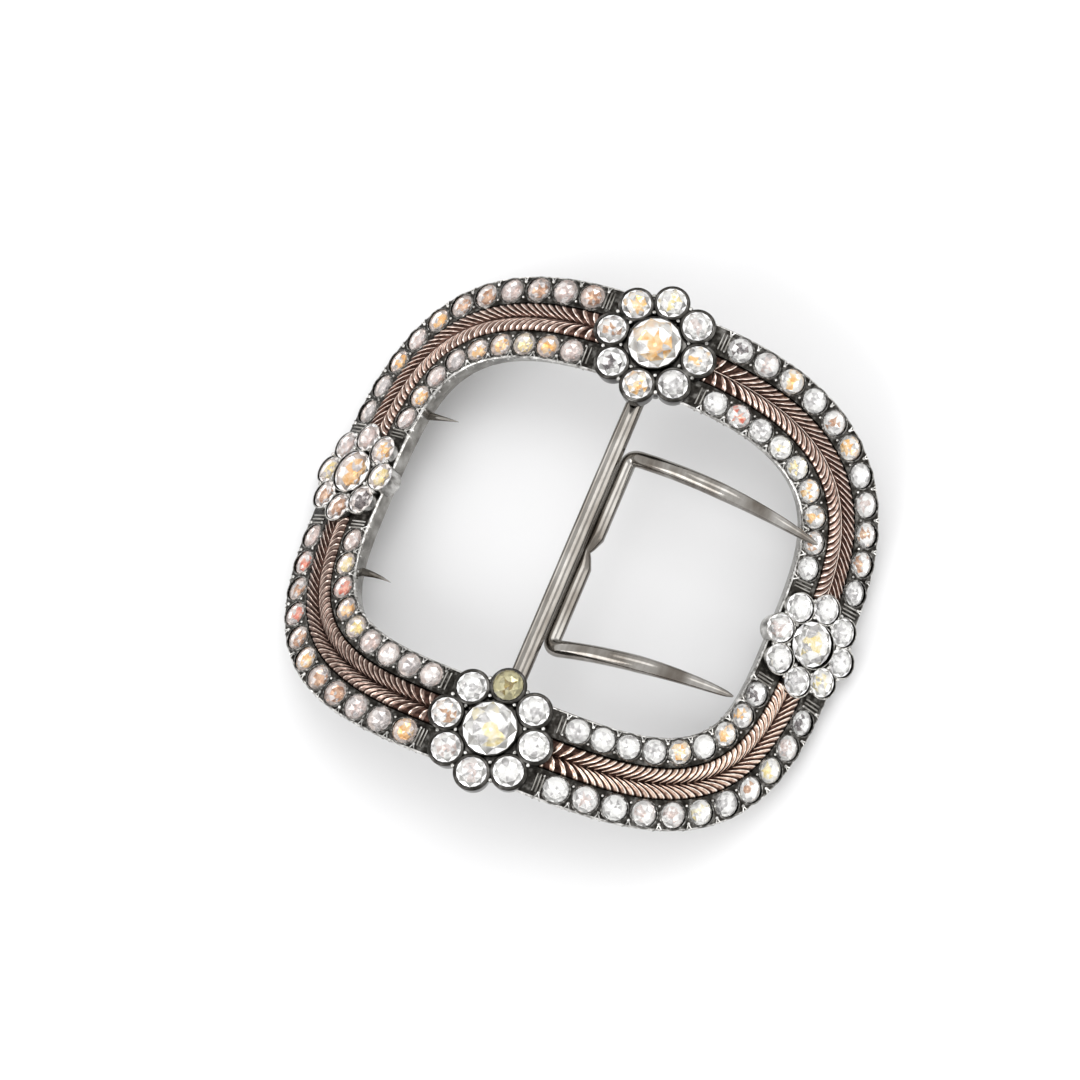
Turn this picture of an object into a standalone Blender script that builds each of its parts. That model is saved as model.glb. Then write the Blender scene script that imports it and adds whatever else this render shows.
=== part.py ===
"""Oval shoe buckle set with round pastes, with rose-gold leaf bands, a bar and a two-pronged fork.

The frame is laid out flat, as the silversmith cuts it, and is then curved over the instep.
In the flat layout u runs across the foot and y along the bar, and h is the height over the rail's top face.
"""
import math

import bmesh
import bpy
from mathutils import Matrix, Vector

# Curve over the instep, and the rail's middle line in the flat layout
ARCH_RADIUS = 0.0522
HALF_SPREAD = 0.0340
HALF_LENGTH = 0.0272
CORNER_POWER = 3.2
RAIL_SEGMENTS = 64
LINE_SAMPLES = 720
WELD_DISTANCE = 0.000002

# Rail section
ROW_OFFSET = 0.00393
RAIL_DEPTH = 0.0028
RIM_MARGIN = 0.00030
RIM_CHAMFER = 0.00025
OUTER_UNDERCUT = 0.00045
INNER_UNDERCUT = 0.00075
CHANNEL_DEPTH = 0.0013
CHANNEL_WALL = 0.00018

# Row stones, girdle radii
OUTER_STONE = 0.00168
INNER_STONE = 0.00158
OUTER_METAL = 0.00040
INNER_METAL = 0.00018
ROW_CROWN = 0.00072
STONE_SIDES = 8

# Rosettes: the two on the bar's line and the two at the sides
END_CENTRE = 0.00330
END_PETAL = 0.00205
END_CIRCLE = 0.00590
SIDE_CENTRE = 0.00280
SIDE_PETAL = 0.00172
SIDE_CIRCLE = 0.00507
PETALS = 8
ROSETTE_RISE = 0.0008
CENTRE_LIFT = 0.00035
COLLET_WALL = 0.00036
CENTRE_WALL = 0.00024
COLLET_DEPTH = 0.0020
COLLET_TAPER = 0.62
WEB_DROP = 0.00045
COLLET_SIDES = 12
CENTRE_SIDES = 20
PROUD_STONE_LIFT = 0.00030

# Cut of the loose stones
CROWN_SHARE = 0.36
TABLE_SHARE = 0.56
GIRDLE_THICKNESS = 0.00012
PAVILION_SHARE = 0.55
CULET_SHARE = 0.34
STONE_CLEARANCE = 0.0003

# Leaf bands in the channel
BAND_CLEARANCE = 0.0003
BAND_CREST = 0.00040
BAND_VEIN = 0.00025
CREST_PLACE = 0.60
BARB_PITCH = 0.00088
BARB_RELIEF = 0.00030
BARB_SWEEP = 0.00115
BAND_END_GAP = 0.0006

# Bar, lugs and fork
BAR_RADIUS = 0.001175
BAR_SIDES = 20
SMOOTH_ANGLE = math.radians(40)
BAR_DROP = 0.00295
BAR_CLEARANCE = 0.0003
LUG_WIDTH = 0.0048
LUG_FLOOR = 0.0009
LUG_REACH = 0.0080
LUG_END_WALL = 0.0008
FORK_RADIUS = 0.00110
FORK_SLOPE = math.radians(44)
FORK_NORTH = 0.01360
FORK_SOUTH = 0.01360
FORK_JOIN = -0.0002
FORK_CORNER_RADIUS = 0.0014
CORNER_STEPS = 4
PRONG_STEPS = 12
ROD_RESOLUTION = 3
PRONG_BOW = 0.0038
PRONG_TAPER = 0.33
TAPER_POWER = 0.75
TIP_RADIUS = 0.00014
NORTH_TIP_SIDE = 0.01190
NORTH_TIP_LAP = 0.00176
NORTH_TIP_HEIGHT = 0.00130
SOUTH_TIP_SIDE = 0.01060
SOUTH_TIP_LAP = -0.0009
SOUTH_TIP_HEIGHT = 0.00020

# Thinning of the fork's back at the join, all as shares of the rod's radius
JOIN_SECTIONS = (
    {"run": -0.55, "inward": 0.55, "rise": 0.25, "thick": 0.34},
    {"run": 0.73, "inward": 0.25, "rise": 0.10, "thick": 0.72},
    {"run": 2.0, "inward": 0.0, "rise": 0.0, "thick": 1.0},
)

# Spikes under the west side: place as a share of the half length, bend of the point as a share of the spike
SPIKES = ({"place": 0.390, "hook": 0.0}, {"place": -0.445, "hook": -0.093})
SPIKE_LENGTH = 0.0054
SPIKE_WIDTH = 0.0015
SPIKE_HEIGHT = 0.0010
SPIKE_LIFT = 0.00005
SPIKE_POINT = 0.08
SPIKE_SIDES = 6

# Finishes: colour, roughness, metallic
FINISHES = {
    "silver": ((0.42, 0.41, 0.39), 0.34, 1.0),
    "rose_gold": ((0.72, 0.45, 0.34), 0.30, 1.0),
    "steel": ((0.60, 0.59, 0.57), 0.26, 1.0),
    "paste": ((0.90, 0.89, 0.87), 0.08, 0.0),
    "olive_paste": ((0.55, 0.52, 0.22), 0.12, 0.0),
}

# Derived places
OUTER_RIM = ROW_OFFSET + OUTER_STONE + RIM_MARGIN
INNER_RIM = ROW_OFFSET + INNER_STONE + RIM_MARGIN
CHANNEL_HALF = ROW_OFFSET - OUTER_STONE - CHANNEL_WALL
ROOT_DEPTH = 0.5 * (CHANNEL_DEPTH + RAIL_DEPTH)
BAR_RISE = -BAR_DROP
LOWEST_SPREAD = HALF_SPREAD + OUTER_RIM - OUTER_UNDERCUT
BASE_RADIUS = ARCH_RADIUS - RAIL_DEPTH
FLOOR_DROP = ARCH_RADIUS - BASE_RADIUS * math.cos(LOWEST_SPREAD / ARCH_RADIUS)
NORTH, EAST, SOUTH, WEST = 0.0, 0.5 * math.pi, math.pi, 1.5 * math.pi


def clear_scene():
    for obj in list(bpy.data.objects):
        bpy.data.objects.remove(obj, do_unlink=True)


def new_collection(name):
    group = bpy.data.collections.new(name)
    bpy.context.scene.collection.children.link(group)
    return group


def finish(name):
    colour, roughness, metallic = FINISHES[name]
    material = bpy.data.materials.new(name)
    material.use_nodes = True
    shader = material.node_tree.nodes["Principled BSDF"]
    shader.inputs["Base Color"].default_value = (*colour, 1.0)
    shader.inputs["Roughness"].default_value = roughness
    shader.inputs["Metallic"].default_value = metallic
    return material


def object_from(bm, name, group):
    mesh = bpy.data.meshes.new(name)
    bm.to_mesh(mesh)
    bm.free()
    obj = bpy.data.objects.new(name, mesh)
    group.objects.link(obj)
    return obj


def as_cutter(obj):
    obj.hide_render = True
    obj.display_type = "WIRE"
    return obj


# The curve over the instep
def arch(u, y, h):
    turn = u / ARCH_RADIUS
    reach = ARCH_RADIUS + h
    return Vector((reach * math.sin(turn), y, reach * math.cos(turn) - ARCH_RADIUS + FLOOR_DROP))


def arch_place(u, y, h):
    return Matrix.Translation(arch(u, y, h)) @ Matrix.Rotation(u / ARCH_RADIUS, 4, "Y")


def arch_mesh(mesh):
    for vertex in mesh.vertices:
        vertex.co = arch(*vertex.co)
    mesh.update()


# The rail's middle line and its offsets in the flat layout
def middle_point(angle):
    side = math.sin(angle)
    end = math.cos(angle)
    power = CORNER_POWER
    reach = (abs(side / HALF_SPREAD) ** power + abs(end / HALF_LENGTH) ** power) ** (-1.0 / power)
    u, y = reach * side, reach * end
    slope_u = math.copysign(abs(u / HALF_SPREAD) ** (power - 1) / HALF_SPREAD, u)
    slope_y = math.copysign(abs(y / HALF_LENGTH) ** (power - 1) / HALF_LENGTH, y)
    steep = math.hypot(slope_u, slope_y)
    return Vector((u, y)), Vector((slope_u / steep, slope_y / steep))


def offset_line(offset):
    """Points of the north-east quarter's offset line, with the length run from the north point."""
    rows = []
    run = 0.0
    for step in range(LINE_SAMPLES + 1):
        place, normal = middle_point(0.5 * math.pi * step / LINE_SAMPLES)
        point = place + offset * normal
        if rows:
            run += (point - rows[-1][1]).length
        rows.append((run, point, normal))
    return rows


def along(line, run):
    """Point and normal at a run along an offset line; past its ends it goes on straight."""
    for (run_a, point_a, normal_a), (run_b, point_b, normal_b) in zip(line, line[1:]):
        if run <= run_b:
            break
    share = (run - run_a) / (run_b - run_a)
    return point_a.lerp(point_b, share), normal_a.lerp(normal_b, share).normalized()


def evened(first, last, spacing):
    """Places from first to last, as many as fit at the spacing, spread evenly."""
    gaps = max(1, int((last - first) / spacing))
    return [first + (last - first) * step / gaps for step in range(gaps + 1)]


def quarters():
    return ((1, 1), (1, -1), (-1, -1), (-1, 1))


# Rosettes in the flat layout
def rosettes():
    end = {"centre": END_CENTRE, "petal": END_PETAL, "circle": END_CIRCLE}
    side = {"centre": SIDE_CENTRE, "petal": SIDE_PETAL, "circle": SIDE_CIRCLE}
    return (
        {"name": "rosette_north", "u": 0.0, "y": HALF_LENGTH, **end},
        {"name": "rosette_east", "u": HALF_SPREAD, "y": 0.0, **side},
        {"name": "rosette_south", "u": 0.0, "y": -HALF_LENGTH, **end},
        {"name": "rosette_west", "u": -HALF_SPREAD, "y": 0.0, **side},
    )


def rosette_reach(circle, petal):
    return circle + petal + COLLET_WALL


def petal_places(rosette):
    for number in range(PETALS):
        angle = 2 * math.pi * number / PETALS
        u = rosette["u"] + rosette["circle"] * math.sin(angle)
        y = rosette["y"] + rosette["circle"] * math.cos(angle)
        yield number, u, y


# Frame pieces in the flat layout
def rail_section(group):
    """Closed section of the rail; the sweep turns negative x outwards."""
    base = -RAIL_DEPTH
    floor = -CHANNEL_DEPTH
    points = (
        (INNER_RIM - INNER_UNDERCUT, base),
        (INNER_RIM, -RIM_CHAMFER),
        (INNER_RIM - RIM_CHAMFER, 0.0),
        (CHANNEL_HALF, 0.0),
        (CHANNEL_HALF, floor),
        (-CHANNEL_HALF, floor),
        (-CHANNEL_HALF, 0.0),
        (-OUTER_RIM + RIM_CHAMFER, 0.0),
        (-OUTER_RIM, -RIM_CHAMFER),
        (-OUTER_RIM + OUTER_UNDERCUT, base),
    )
    return poly_curve("rail_section", points, group)


def poly_curve(name, points, group):
    data = bpy.data.curves.new(name, "CURVE")
    data.dimensions = "2D"
    spline = data.splines.new("POLY")
    spline.points.add(len(points) - 1)
    for target, (x, y) in zip(spline.points, points):
        target.co = (x, y, 0.0, 1.0)
    spline.use_cyclic_u = True
    obj = bpy.data.objects.new(name, data)
    group.objects.link(obj)
    return as_cutter(obj)


def even_ring():
    """Middle line points at even steps, with a level step across each of the four axes."""
    line = offset_line(0.0)
    total = line[-1][0]
    quarter = RAIL_SEGMENTS // 4
    points = []
    for sign_u, sign_y in quarters():
        runs = [total * (step + 0.5) / quarter for step in range(quarter)]
        if sign_u != sign_y:
            runs.reverse()
        for run in runs:
            place, _ = along(line, run)
            points.append((sign_u * place.x, sign_y * place.y))
    return points


def mesh_from_curve(obj, name, group):
    depsgraph = bpy.context.evaluated_depsgraph_get()
    mesh = bpy.data.meshes.new_from_object(obj.evaluated_get(depsgraph))
    bm = bmesh.new()
    bm.from_mesh(mesh)
    bmesh.ops.remove_doubles(bm, verts=bm.verts, dist=WELD_DISTANCE)
    bmesh.ops.recalc_face_normals(bm, faces=bm.faces)
    bm.to_mesh(mesh)
    bm.free()
    mesh.name = name
    result = bpy.data.objects.new(name, mesh)
    result.matrix_world = obj.matrix_world
    group.objects.link(result)
    bpy.data.objects.remove(obj, do_unlink=True)
    result.name = name
    return result


def make_rail(group, helpers):
    section = rail_section(helpers)
    path = poly_curve("rail_path", even_ring(), helpers)
    path.data.bevel_mode = "OBJECT"
    path.data.bevel_object = section
    bpy.context.view_layer.update()
    return mesh_from_curve(path, "frame", group)


def add_cone(bm, u, y, low, high, low_radius, high_radius, sides, turn=0.0):
    place = Matrix.Translation((u, y, 0.5 * (low + high))) @ Matrix.Rotation(turn, 4, "Z")
    bmesh.ops.create_cone(bm, cap_ends=True, segments=sides, radius1=low_radius, radius2=high_radius,
                          depth=high - low, matrix=place)


def row_places():
    """Every row stone as place, outward normal and girdle radius."""
    end = rosette_reach(END_CIRCLE, END_PETAL)
    side = rosette_reach(SIDE_CIRCLE, SIDE_PETAL)
    rows = ((ROW_OFFSET, OUTER_STONE, OUTER_METAL), (-ROW_OFFSET, INNER_STONE, INNER_METAL))
    for offset, radius, metal in rows:
        line = offset_line(offset)
        step = 2 * radius + metal
        clear = radius + metal
        for run in evened(end + clear, line[-1][0] - side - clear, step):
            point, normal = along(line, run)
            for sign_u, sign_y in quarters():
                outward = Vector((sign_u * normal.x, sign_y * normal.y))
                yield sign_u * point.x, sign_y * point.y, outward, radius


def make_row_stones(group):
    """Crowns of the row stones, rooted in the rail."""
    bm = bmesh.new()
    root = 0.5 * RIM_CHAMFER
    for u, y, normal, radius in row_places():
        slope = radius * (1 - TABLE_SHARE) / ROW_CROWN
        turn = math.atan2(normal.y, normal.x) + math.pi / STONE_SIDES
        add_cone(bm, u, y, -root, ROW_CROWN, radius + slope * root, radius * TABLE_SHARE, STONE_SIDES, turn)
    return as_cutter(object_from(bm, "row_stones", group))


def make_collets(group, parity):
    """Every other petal cup of each rosette, so that no two in one mesh meet."""
    bm = bmesh.new()
    for rosette in rosettes():
        radius = rosette["petal"] + COLLET_WALL
        for number, u, y in petal_places(rosette):
            if number % 2 == parity:
                low = ROSETTE_RISE - COLLET_DEPTH
                add_cone(bm, u, y, low, ROSETTE_RISE, radius * COLLET_TAPER, radius, COLLET_SIDES)
    return as_cutter(object_from(bm, "collets_odd" if parity else "collets_even", group))


def make_webs(group):
    """Floor of each rosette, and the raised cup of its centre stone."""
    webs = bmesh.new()
    cups = bmesh.new()
    for rosette in rosettes():
        u, y = rosette["u"], rosette["y"]
        web = rosette["circle"]
        add_cone(webs, u, y, -ROOT_DEPTH, ROSETTE_RISE - WEB_DROP, web, web, CENTRE_SIDES)
        cup = rosette["centre"] + CENTRE_WALL
        add_cone(cups, u, y, -CHANNEL_DEPTH, ROSETTE_RISE + CENTRE_LIFT, cup, cup, CENTRE_SIDES)
    return (as_cutter(object_from(webs, "rosette_webs", group)),
            as_cutter(object_from(cups, "centre_cups", group)))


def pavilion(radius):
    """Depth under the girdle, and how fast the pavilion narrows with depth."""
    deep = PAVILION_SHARE * radius
    return deep, radius * (1 - CULET_SHARE) / deep


def add_seat(bm, u, y, rim, radius):
    """The pavilion's own cone, let down until it clears the stone, and run on past the rim."""
    deep, narrowing = pavilion(radius)
    drop = STONE_CLEARANCE * math.hypot(1.0, narrowing) / narrowing
    low = rim + STONE_CLEARANCE - deep - drop
    high = rim + 0.5 * STONE_CLEARANCE
    low_radius = radius * CULET_SHARE
    add_cone(bm, u, y, low, high, low_radius, low_radius + narrowing * (high - low), COLLET_SIDES)


def make_seats(group):
    bm = bmesh.new()
    for rosette in rosettes():
        for _, u, y in petal_places(rosette):
            add_seat(bm, u, y, ROSETTE_RISE, rosette["petal"])
        add_seat(bm, rosette["u"], rosette["y"], ROSETTE_RISE + CENTRE_LIFT, rosette["centre"])
    return as_cutter(object_from(bm, "seats", group))


def lug_ends():
    """Inner and outer face of a bar lug along y, for the north side."""
    inner = HALF_LENGTH - INNER_RIM + INNER_UNDERCUT
    return inner, inner + LUG_REACH


def make_lugs(group):
    """Block under each end rosette that holds an end of the bar; its floor is flat."""
    bm = bmesh.new()
    inner, outer = lug_ends()
    low = BAR_RISE - BAR_RADIUS - BAR_CLEARANCE - LUG_FLOOR
    middle = 0.5 * (low - ROOT_DEPTH)
    for side in (1, -1):
        place = Matrix.Translation((0.0, side * 0.5 * (inner + outer), middle))
        size = Matrix.Diagonal((LUG_WIDTH, outer - inner, -ROOT_DEPTH - low, 1.0))
        bmesh.ops.create_cube(bm, size=1.0, matrix=place @ size)
    return as_cutter(object_from(bm, "bar_lugs", group))


def make_bores(group):
    """Blind bores for the bar's ends, open towards the window."""
    bm = bmesh.new()
    inner, outer = lug_ends()
    first = inner - LUG_END_WALL
    last = outer - LUG_END_WALL
    radius = BAR_RADIUS + BAR_CLEARANCE
    for side in (1, -1):
        place = Matrix.Translation((0.0, side * 0.5 * (first + last), BAR_RISE))
        bmesh.ops.create_cone(bm, cap_ends=True, segments=BAR_SIDES, radius1=radius, radius2=radius,
                              depth=last - first, matrix=place @ Matrix.Rotation(0.5 * math.pi, 4, "X"))
    return as_cutter(object_from(bm, "bar_bores", group))


def make_spikes(group):
    """Two ridged points soldered to the foot of the west wall."""
    bm = bmesh.new()
    root = 0.5 * (CHANNEL_HALF + INNER_RIM - INNER_UNDERCUT) - CHANNEL_HALF
    level = -RAIL_DEPTH + SPIKE_LIFT + 0.5 * SPIKE_HEIGHT
    for spike in SPIKES:
        middle = spike["place"] * HALF_LENGTH
        wall = -wall_spread(INNER_UNDERCUT - INNER_RIM, middle)
        shape = bmesh.ops.create_cone(bm, cap_ends=True, segments=SPIKE_SIDES, radius1=0.5,
                                      radius2=0.5 * SPIKE_POINT, depth=1.0)
        for vertex in shape["verts"]:
            share = vertex.co.z + 0.5
            wide = vertex.co.y * SPIKE_WIDTH
            high = vertex.co.x * SPIKE_HEIGHT
            bend = spike["hook"] * SPIKE_LENGTH * share ** 3
            reach = wall - root + share * (SPIKE_LENGTH + root)
            vertex.co = Vector((reach, middle + wide + bend, level + high))
    bmesh.ops.recalc_face_normals(bm, faces=bm.faces)
    return as_cutter(object_from(bm, "spikes", group))


def boolean(obj, operation, group):
    cut = obj.modifiers.new(operation.lower(), "BOOLEAN")
    cut.operation = operation
    cut.operand_type = "COLLECTION"
    cut.collection = group
    cut.solver = "EXACT"


def make_frame(group, helpers):
    """Rail, mounts, lugs, spikes and row stones as one solid, cut flat and then curved."""
    added = bpy.data.collections.new("frame_added")
    removed = bpy.data.collections.new("frame_cut_away")
    helpers.children.link(added)
    helpers.children.link(removed)
    frame = make_rail(group, helpers)
    make_row_stones(added)
    make_collets(added, 0)
    make_collets(added, 1)
    make_webs(added)
    make_lugs(added)
    make_spikes(added)
    make_seats(removed)
    make_bores(removed)
    boolean(frame, "UNION", added)
    boolean(frame, "DIFFERENCE", removed)
    bpy.context.view_layer.update()
    depsgraph = bpy.context.evaluated_depsgraph_get()
    mesh = bpy.data.meshes.new_from_object(frame.evaluated_get(depsgraph))
    frame.modifiers.clear()
    frame.data = triangles_only(mesh)
    arch_mesh(frame.data)
    frame.data.materials.clear()
    frame.data.materials.append(finish("silver"))
    return frame


def triangles_only(mesh):
    bm = bmesh.new()
    bm.from_mesh(mesh)
    bmesh.ops.triangulate(bm, faces=bm.faces)
    bm.to_mesh(mesh)
    bm.free()
    return mesh


# Loose stones
def cut_stone_mesh(name, radius, material):
    """Round stone about its girdle's centre: table, two rings of crown facets, girdle and pavilion."""
    bm = bmesh.new()
    deep, _ = pavilion(radius)
    rings = (
        (radius * CULET_SHARE, -deep, 0.0),
        (radius, 0.0, 0.0),
        (radius, GIRDLE_THICKNESS, 0.0),
        (radius * TABLE_SHARE, CROWN_SHARE * radius, 0.5),
    )
    loops = []
    for reach, height, twist in rings:
        loop = []
        for number in range(STONE_SIDES):
            angle = 2 * math.pi * (number + twist) / STONE_SIDES
            loop.append(bm.verts.new((reach * math.cos(angle), reach * math.sin(angle), height)))
        loops.append(loop)
    bm.faces.new(reversed(loops[0]))
    bm.faces.new(loops[-1])
    for lower, upper in zip(loops[:2], loops[1:3]):
        for number in range(STONE_SIDES):
            after = (number + 1) % STONE_SIDES
            bm.faces.new((lower[number], lower[after], upper[after], upper[number]))
    girdle, table = loops[2], loops[3]
    for number in range(STONE_SIDES):
        after = (number + 1) % STONE_SIDES
        bm.faces.new((girdle[number], girdle[after], table[number]))
        bm.faces.new((girdle[after], table[after], table[number]))
    bm.normal_update()
    mesh = bpy.data.meshes.new(name)
    bm.to_mesh(mesh)
    bm.free()
    mesh.materials.append(material)
    return mesh


def place_stone(name, mesh, u, y, rise, group):
    stone = bpy.data.objects.new(name, mesh)
    stone.matrix_world = arch_place(u, y, rise)
    group.objects.link(stone)
    return stone


def make_loose_stones(group):
    clear = finish("paste")
    olive = finish("olive_paste")
    for rosette in rosettes():
        name = rosette["name"]
        petal = cut_stone_mesh(name + "_petal", rosette["petal"], clear)
        centre = cut_stone_mesh(name + "_centre", rosette["centre"], clear)
        rise = ROSETTE_RISE + STONE_CLEARANCE
        place_stone(name + "_centre", centre, rosette["u"], rosette["y"], rise + CENTRE_LIFT, group)
        for number, u, y in petal_places(rosette):
            replaced = name == "rosette_south" and number == 0
            mesh = cut_stone_mesh("olive_petal", rosette["petal"], olive) if replaced else petal
            lift = PROUD_STONE_LIFT if replaced else 0.0
            place_stone(f"{name}_petal_{number + 1}", mesh, u, y, rise + lift, group)


# Leaf bands
def band_rows():
    """Cross lines of the barbs for the north-east band: run of the vein, and whether the line is a ridge."""
    line = offset_line(0.0)
    first = rosette_reach(END_CIRCLE, END_PETAL) + BAND_END_GAP
    last = line[-1][0] - rosette_reach(SIDE_CIRCLE, SIDE_PETAL) - BAND_END_GAP - BARB_SWEEP
    for number, run in enumerate(evened(first, last, 0.5 * BARB_PITCH)):
        yield line, run, number % 2 == 0


def band_section(ridge):
    """Points across the band, as the share of the half width and the height."""
    top = BAND_CREST if ridge else BAND_CREST - BARB_RELIEF
    low = -CHANNEL_DEPTH + BAND_CLEARANCE
    return ((-1.0, low), (-CREST_PLACE, top), (0.0, -BAND_VEIN), (CREST_PLACE, top), (1.0, low))


def make_band(name, sign_u, sign_y, material, group):
    bm = bmesh.new()
    half = CHANNEL_HALF - BAND_CLEARANCE
    loops = []
    for line, run, ridge in band_rows():
        loop = []
        section = band_section(ridge)
        for share, height in reversed(section) if sign_u == sign_y else section:
            point, normal = along(line, run + abs(share) * BARB_SWEEP)
            place = point + share * half * normal
            loop.append(bm.verts.new(arch(sign_u * place.x, sign_y * place.y, height)))
        loops.append(loop)
    for before, after in zip(loops, loops[1:]):
        count = len(before)
        for number in range(count):
            following = (number + 1) % count
            bm.faces.new((before[number], before[following], after[following], after[number]))
    bm.faces.new(reversed(loops[0]))
    bm.faces.new(loops[-1])
    bmesh.ops.triangulate(bm, faces=bm.faces)
    band = object_from(bm, name, group)
    band.data.materials.append(material)
    return band


def make_bands(group):
    gold = finish("rose_gold")
    names = ("leaf_band_north_east", "leaf_band_south_east", "leaf_band_south_west", "leaf_band_north_west")
    for name, (sign_u, sign_y) in zip(names, quarters()):
        make_band(name, sign_u, sign_y, gold, group)


# Bar and fork, which turn together about the bar's axis
def bar_height():
    return FLOOR_DROP + BAR_RISE


def make_bar(group, hinge, material):
    _, outer = lug_ends()
    half = outer - LUG_END_WALL - BAR_CLEARANCE
    bm = bmesh.new()
    bmesh.ops.create_cone(bm, cap_ends=True, segments=BAR_SIDES, radius1=BAR_RADIUS, radius2=BAR_RADIUS,
                          depth=2 * half, matrix=Matrix.Rotation(0.5 * math.pi, 4, "X"))
    bar = object_from(bm, "bar", group)
    bar.data.shade_smooth()
    bar.data.set_sharp_from_angle(angle=SMOOTH_ANGLE)
    bar.data.materials.append(material)
    bar.parent = hinge
    return bar


def fork_back():
    """Place of the fork's back beside and below the bar, from the bar's axis."""
    apart = BAR_RADIUS + FORK_RADIUS + BAR_CLEARANCE
    return apart * math.cos(FORK_SLOPE), -apart * math.sin(FORK_SLOPE)


def wall_spread(offset, y):
    """How far out an offset line of the rail lies, level with a place along the bar's line."""
    return min((row[1] for row in offset_line(offset)), key=lambda place: abs(place.y - abs(y))).x


def prong_tip(lap, side, height):
    """Tip from the bar's axis; its lap is how far it reaches over the rail's inner edge."""
    tip = arch(wall_spread(-INNER_RIM, side) + lap, side, height)
    return Vector((tip.x, tip.y, tip.z - bar_height()))


def join_points(way):
    """Points and radius shares of one half of the fork's back, thinned where it meets the other half."""
    back_x, back_z = fork_back()
    for section in JOIN_SECTIONS:
        x = back_x - section["inward"] * FORK_RADIUS
        y = FORK_JOIN + way * section["run"] * FORK_RADIUS
        yield Vector((x, y, back_z + section["rise"] * FORK_RADIUS)), section["thick"]


def bowed(corner, tip, share):
    """Point of a prong at a share of the way from its corner to its tip."""
    point = corner.lerp(tip, share)
    point.z += 4 * PRONG_BOW * share * (1 - share)
    return point


def taper(share):
    """Share of the rod's radius that is left at a share of the way to the tip."""
    left = max(0.0, 1 - share) / PRONG_TAPER
    return 1.0 if left >= 1 else max(TIP_RADIUS / FORK_RADIUS, left ** TAPER_POWER)


def prong_route(corner, tip):
    """Points and radius shares from the join along the back, round the corner and out to the tip."""
    way = math.copysign(1, corner.y)
    route = list(join_points(way))
    start = FORK_CORNER_RADIUS / (tip - corner).xy.length
    before = corner - Vector((0.0, way * FORK_CORNER_RADIUS, 0.0))
    after = bowed(corner, tip, start)
    for step in range(CORNER_STEPS + 1):
        share = step / CORNER_STEPS
        bend = before.lerp(corner, share).lerp(corner.lerp(after, share), share)
        route.append((bend, 1.0))
    for step in range(1, PRONG_STEPS + 1):
        share = start + (1 - start) * step / PRONG_STEPS
        route.append((bowed(corner, tip, share), taper(share)))
    return route


def rod(name, route, group):
    data = bpy.data.curves.new(name, "CURVE")
    data.dimensions = "3D"
    data.bevel_depth = FORK_RADIUS
    data.bevel_resolution = ROD_RESOLUTION
    data.use_fill_caps = True
    spline = data.splines.new("POLY")
    spline.points.add(len(route) - 1)
    for target, (point, radius) in zip(spline.points, route):
        target.co = (*point, 1.0)
        target.radius = radius
    obj = bpy.data.objects.new(name, data)
    group.objects.link(obj)
    bpy.context.view_layer.update()
    return mesh_from_curve(obj, name, group)


def make_fork(group, helpers, hinge, material):
    back_x, back_z = fork_back()
    north = Vector((back_x, FORK_NORTH, back_z))
    south = Vector((back_x, -FORK_SOUTH, back_z))
    north_tip = prong_tip(NORTH_TIP_LAP, NORTH_TIP_SIDE, NORTH_TIP_HEIGHT)
    south_tip = prong_tip(SOUTH_TIP_LAP, -SOUTH_TIP_SIDE, SOUTH_TIP_HEIGHT)
    fork = rod("fork", prong_route(north, north_tip), group)
    other = as_cutter(rod("fork_south", prong_route(south, south_tip), helpers))
    join = fork.modifiers.new("join", "BOOLEAN")
    join.operation = "UNION"
    join.object = other
    join.solver = "EXACT"
    fork.data.shade_smooth()
    fork.data.materials.append(material)
    fork.parent = hinge
    other.parent = hinge
    return fork


def make_hinge(group):
    """Empty on the bar's axis; the bar and the fork hang from it."""
    hinge = bpy.data.objects.new("bar_axis", None)
    hinge.location = (0.0, 0.0, bar_height())
    hinge.empty_display_size = BAR_RADIUS
    group.objects.link(hinge)
    return hinge


def build():
    clear_scene()
    group = new_collection("shoe_buckle")
    helpers = new_collection("cutters")
    helpers.hide_render = True
    make_frame(group, helpers)
    make_bands(group)
    make_loose_stones(group)
    hinge = make_hinge(group)
    steel = finish("steel")
    make_bar(group, hinge, steel)
    make_fork(group, helpers, hinge, steel)


build()
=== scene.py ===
"""Silver shoe buckle set with foiled pastes, with chased rose-gold leaf bands, a bar and a two-pronged fork.

The frame's pieces are shaped flat, as the silversmith cuts them, and are then curved over the instep.
In the flat layout u runs across the foot, y along the bar, and h is the height over the rail's top face.
"""

import math
import random
from bisect import bisect_right

import bmesh
import bpy
from mathutils import Euler, Matrix, Vector


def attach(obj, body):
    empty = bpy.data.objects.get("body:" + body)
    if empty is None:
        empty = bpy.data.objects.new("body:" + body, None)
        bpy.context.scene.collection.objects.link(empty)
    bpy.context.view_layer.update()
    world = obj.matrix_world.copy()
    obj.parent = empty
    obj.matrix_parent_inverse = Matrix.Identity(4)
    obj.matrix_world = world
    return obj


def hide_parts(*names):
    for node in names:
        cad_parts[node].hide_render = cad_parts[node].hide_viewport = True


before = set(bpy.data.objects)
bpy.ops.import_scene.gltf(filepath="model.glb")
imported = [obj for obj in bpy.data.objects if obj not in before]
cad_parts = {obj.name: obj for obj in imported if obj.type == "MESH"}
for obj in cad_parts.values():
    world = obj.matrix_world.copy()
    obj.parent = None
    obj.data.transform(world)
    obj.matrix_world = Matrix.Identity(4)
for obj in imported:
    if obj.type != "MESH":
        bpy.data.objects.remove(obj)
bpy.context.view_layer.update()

# Axes and directions
X, Y, Z = range(3)
ALONG, ACROSS, UP, DOWN = (1, 0, 0), (0, 1, 0), (0, 0, 1), (0, 0, -1)
ON_ITS_SIDE = (0.5 * math.pi, 0, 0)
ALONG_THE_RUN = (0, 0.5 * math.pi, 0)
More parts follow.
